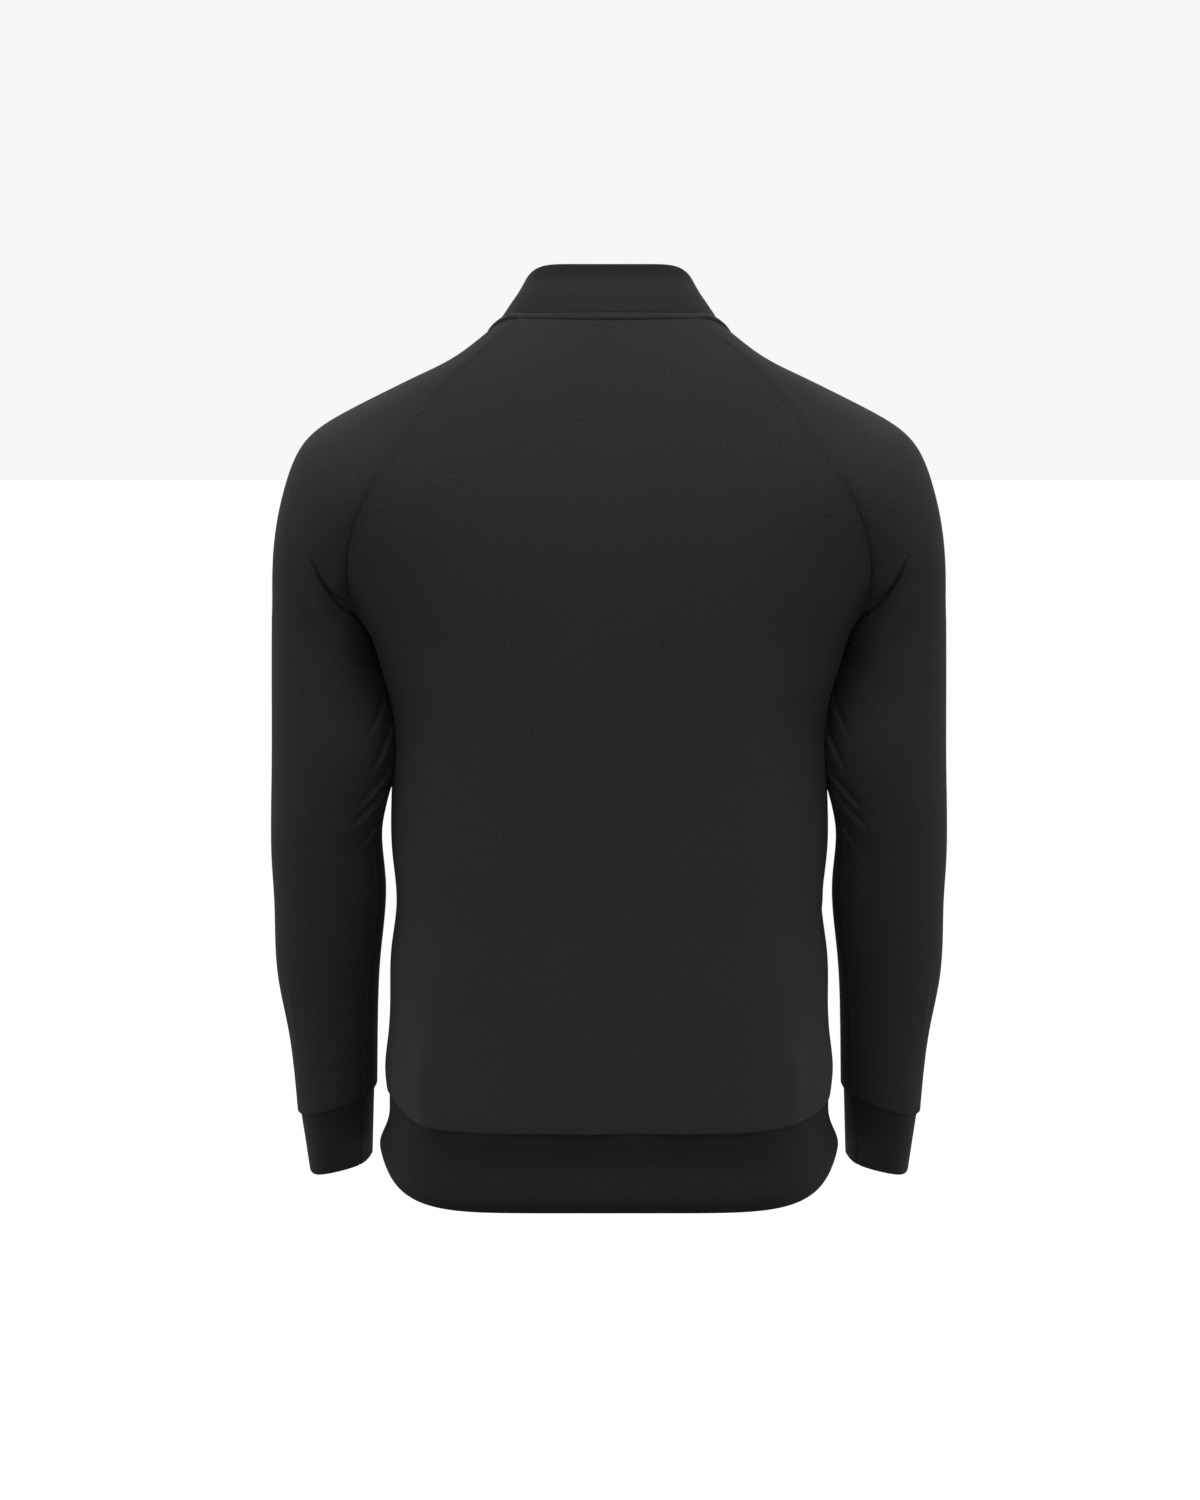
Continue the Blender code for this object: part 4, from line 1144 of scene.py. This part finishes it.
def cuff_surface(sleeve_end):
    """Outer surface of the left cuff, from inside the sleeve's end to the folded edge."""
    centre = (sleeve_end.min(axis=0) + sleeve_end.max(axis=0)) / 2
    top = sleeve_end + (centre - sleeve_end) * CUFF_INSET
    inner = np.array(CUFF_HEM[:3])
    outer = np.array(CUFF_HEM[3:6])
    back_reach = np.array([0.0, CUFF_HEM.back, CUFF_RISE]) * FULL_HALF
    front_reach = np.array([0.0, -CUFF_HEM.front * FULL_HALF, 0.0])
    loop = np.concatenate([arc(inner, back_reach, back_reach, outer),
                           arc(inner, front_reach, front_reach, outer)[-2::-1]])
    bottom = from_seam(loop, CUFF_HEM.seam)
    side = (bottom[:, 0] - (inner[0] + outer[0]) / 2) / ((outer[0] - inner[0]) / 2)
    bottom[:, 2] += CUFF_CORNER * np.abs(side) ** CUFF_CORNER_POWER
    rows = np.array([top + (bottom - top) * share
                     for share in np.linspace(-CUFF_TUCK, 1, CUFF_ROWS + 1)])
    rows = rows[:, ::-1]
    lift = roll(np.minimum(*distances(rows, 1)), *UNDERARM_ROLL)
    return rows + normals(rows, closed=True) * lift[..., None]


def mirrored(grid):
    """The same piece on the wearer's other side."""
    return grid[:, ::-1] * (-1, 1, 1)


cuff_cloth = knit_material("cuff_rib", grey=0.0128, wale=0.0010, course=0.0008, change=0.14,
                           relief=0.00012, sheen=0.06)
cuff_grid = folded(cuff_surface(sleeve_base[-1]), CUFF_WALL, CUFF_ROWS)
for name, node, grid in (("left_cuff", "cuff_left", cuff_grid),
                         ("right_cuff", "cuff_right", mirrored(cuff_grid))):
    piece = new_piece(name, grid, cuff_cloth, closed_from=0, cloth=strip_map(grid), ring=True)
    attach(piece, "root")
    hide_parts(node)

# ------------------------------------------------------------ floor, light and camera
# A pale floor well below the top, which hangs as if worn, in an even white studio with large
# soft lights above it and to each side.
FLOOR_HEIGHT = -1.35
STUDIO_WHITE = 0.93
FLOOR_GLOW = 0.80
FLOOR_REACH = 14.0         # half its width
FILL_LIGHT = (0.10, 0.43, 0.70)     # light from below, from level and from above

floor_mesh = bpy.data.meshes.new("floor")
floor_mesh.from_pydata([(x * FLOOR_REACH, y * FLOOR_REACH, FLOOR_HEIGHT) for x, y in
                        ((-1, -1), (1, -1), (1, 1), (-1, 1))], [], [(0, 1, 2, 3)])
floor_material = bpy.data.materials.new("pale_floor")
floor_material.use_nodes = True
set_inputs(floor_material.node_tree.nodes["Principled BSDF"], {
    "Base Color": (0.3, 0.3, 0.3, 1.0), "Roughness": 0.9, "Specular IOR Level": 0.0,
    "Emission Color": (1.0, 1.0, 1.0, 1.0), "Emission Strength": FLOOR_GLOW})
floor_mesh.materials.append(floor_material)
floor = bpy.data.objects.new("floor", floor_mesh)
floor.visible_diffuse = False
floor.visible_glossy = False
link(floor)

world = bpy.data.worlds.new("studio")
bpy.context.scene.world = world
world.use_nodes = True
sky_nodes, sky_links = world.node_tree.nodes, world.node_tree.links
heading = sky_nodes.new("ShaderNodeTexCoord")
height = sky_nodes.new("ShaderNodeSeparateXYZ")
share = sky_nodes.new("ShaderNodeMapRange")
share.inputs["From Min"].default_value = -1.0
fill = sky_nodes.new("ShaderNodeValToRGB")
for stop, level in zip((fill.color_ramp.elements[0], fill.color_ramp.elements.new(0.5),
                        fill.color_ramp.elements[-1]), FILL_LIGHT):
    stop.color = (level, level, level, 1.0)
ray = sky_nodes.new("ShaderNodeLightPath")
choice = sky_nodes.new("ShaderNodeMix")
choice.data_type = "RGBA"
choice.inputs["B"].default_value = (STUDIO_WHITE, STUDIO_WHITE, STUDIO_WHITE, 1.0)
sky_links.new(heading.outputs["Generated"], height.inputs[0])
sky_links.new(height.outputs["Z"], share.inputs["Value"])
sky_links.new(share.outputs["Result"], fill.inputs["Fac"])
sky_links.new(ray.outputs["Is Camera Ray"], choice.inputs["Factor"])
sky_links.new(fill.outputs["Color"], choice.inputs["A"])
sky_links.new(choice.outputs["Result"], sky_nodes["Background"].inputs["Color"])


def soft_light(name, place, aim, size, power):
    """A square soft light at place, turned to aim."""
    light = bpy.data.lights.new(name, "AREA")
    light.size = size
    light.energy = power
    lamp = bpy.data.objects.new(name, light)
    lamp.location = place
    direction = Vector(aim) - Vector(place)
    lamp.rotation_euler = direction.to_track_quat("-Z", "Y").to_euler()
    link(lamp)


soft_light("overhead", (0.0, 0.7, 2.4), (0.0, 0.0, -0.2), 1.4, 37.0)
for side, name in ((1, "left"), (-1, "right")):
    soft_light(name + "_low", (1.1 * side, -0.05, -0.85), (0.25 * side, 0.0, -0.50), 0.8, 1.35)
soft_light("behind", (0.0, 2.9, -0.4), (0.0, 0.0, -0.40), 2.2, 11.0)
soft_light("ahead", (0.0, -2.9, 0.4), (0.0, 0.0, -0.40), 2.2, 11.0)

bpy.context.scene.view_settings.view_transform = "Standard"
lens = bpy.data.cameras.new("camera")
lens.lens = 74.64
lens.sensor_width = 36.0
lens.shift_x = -0.0060
camera = bpy.data.objects.new("camera", lens)
camera.location = (0.0, 2.36, 0.0935)
camera.rotation_euler = (math.radians(80), 0, math.radians(180))
link(camera)
bpy.context.scene.camera = camera
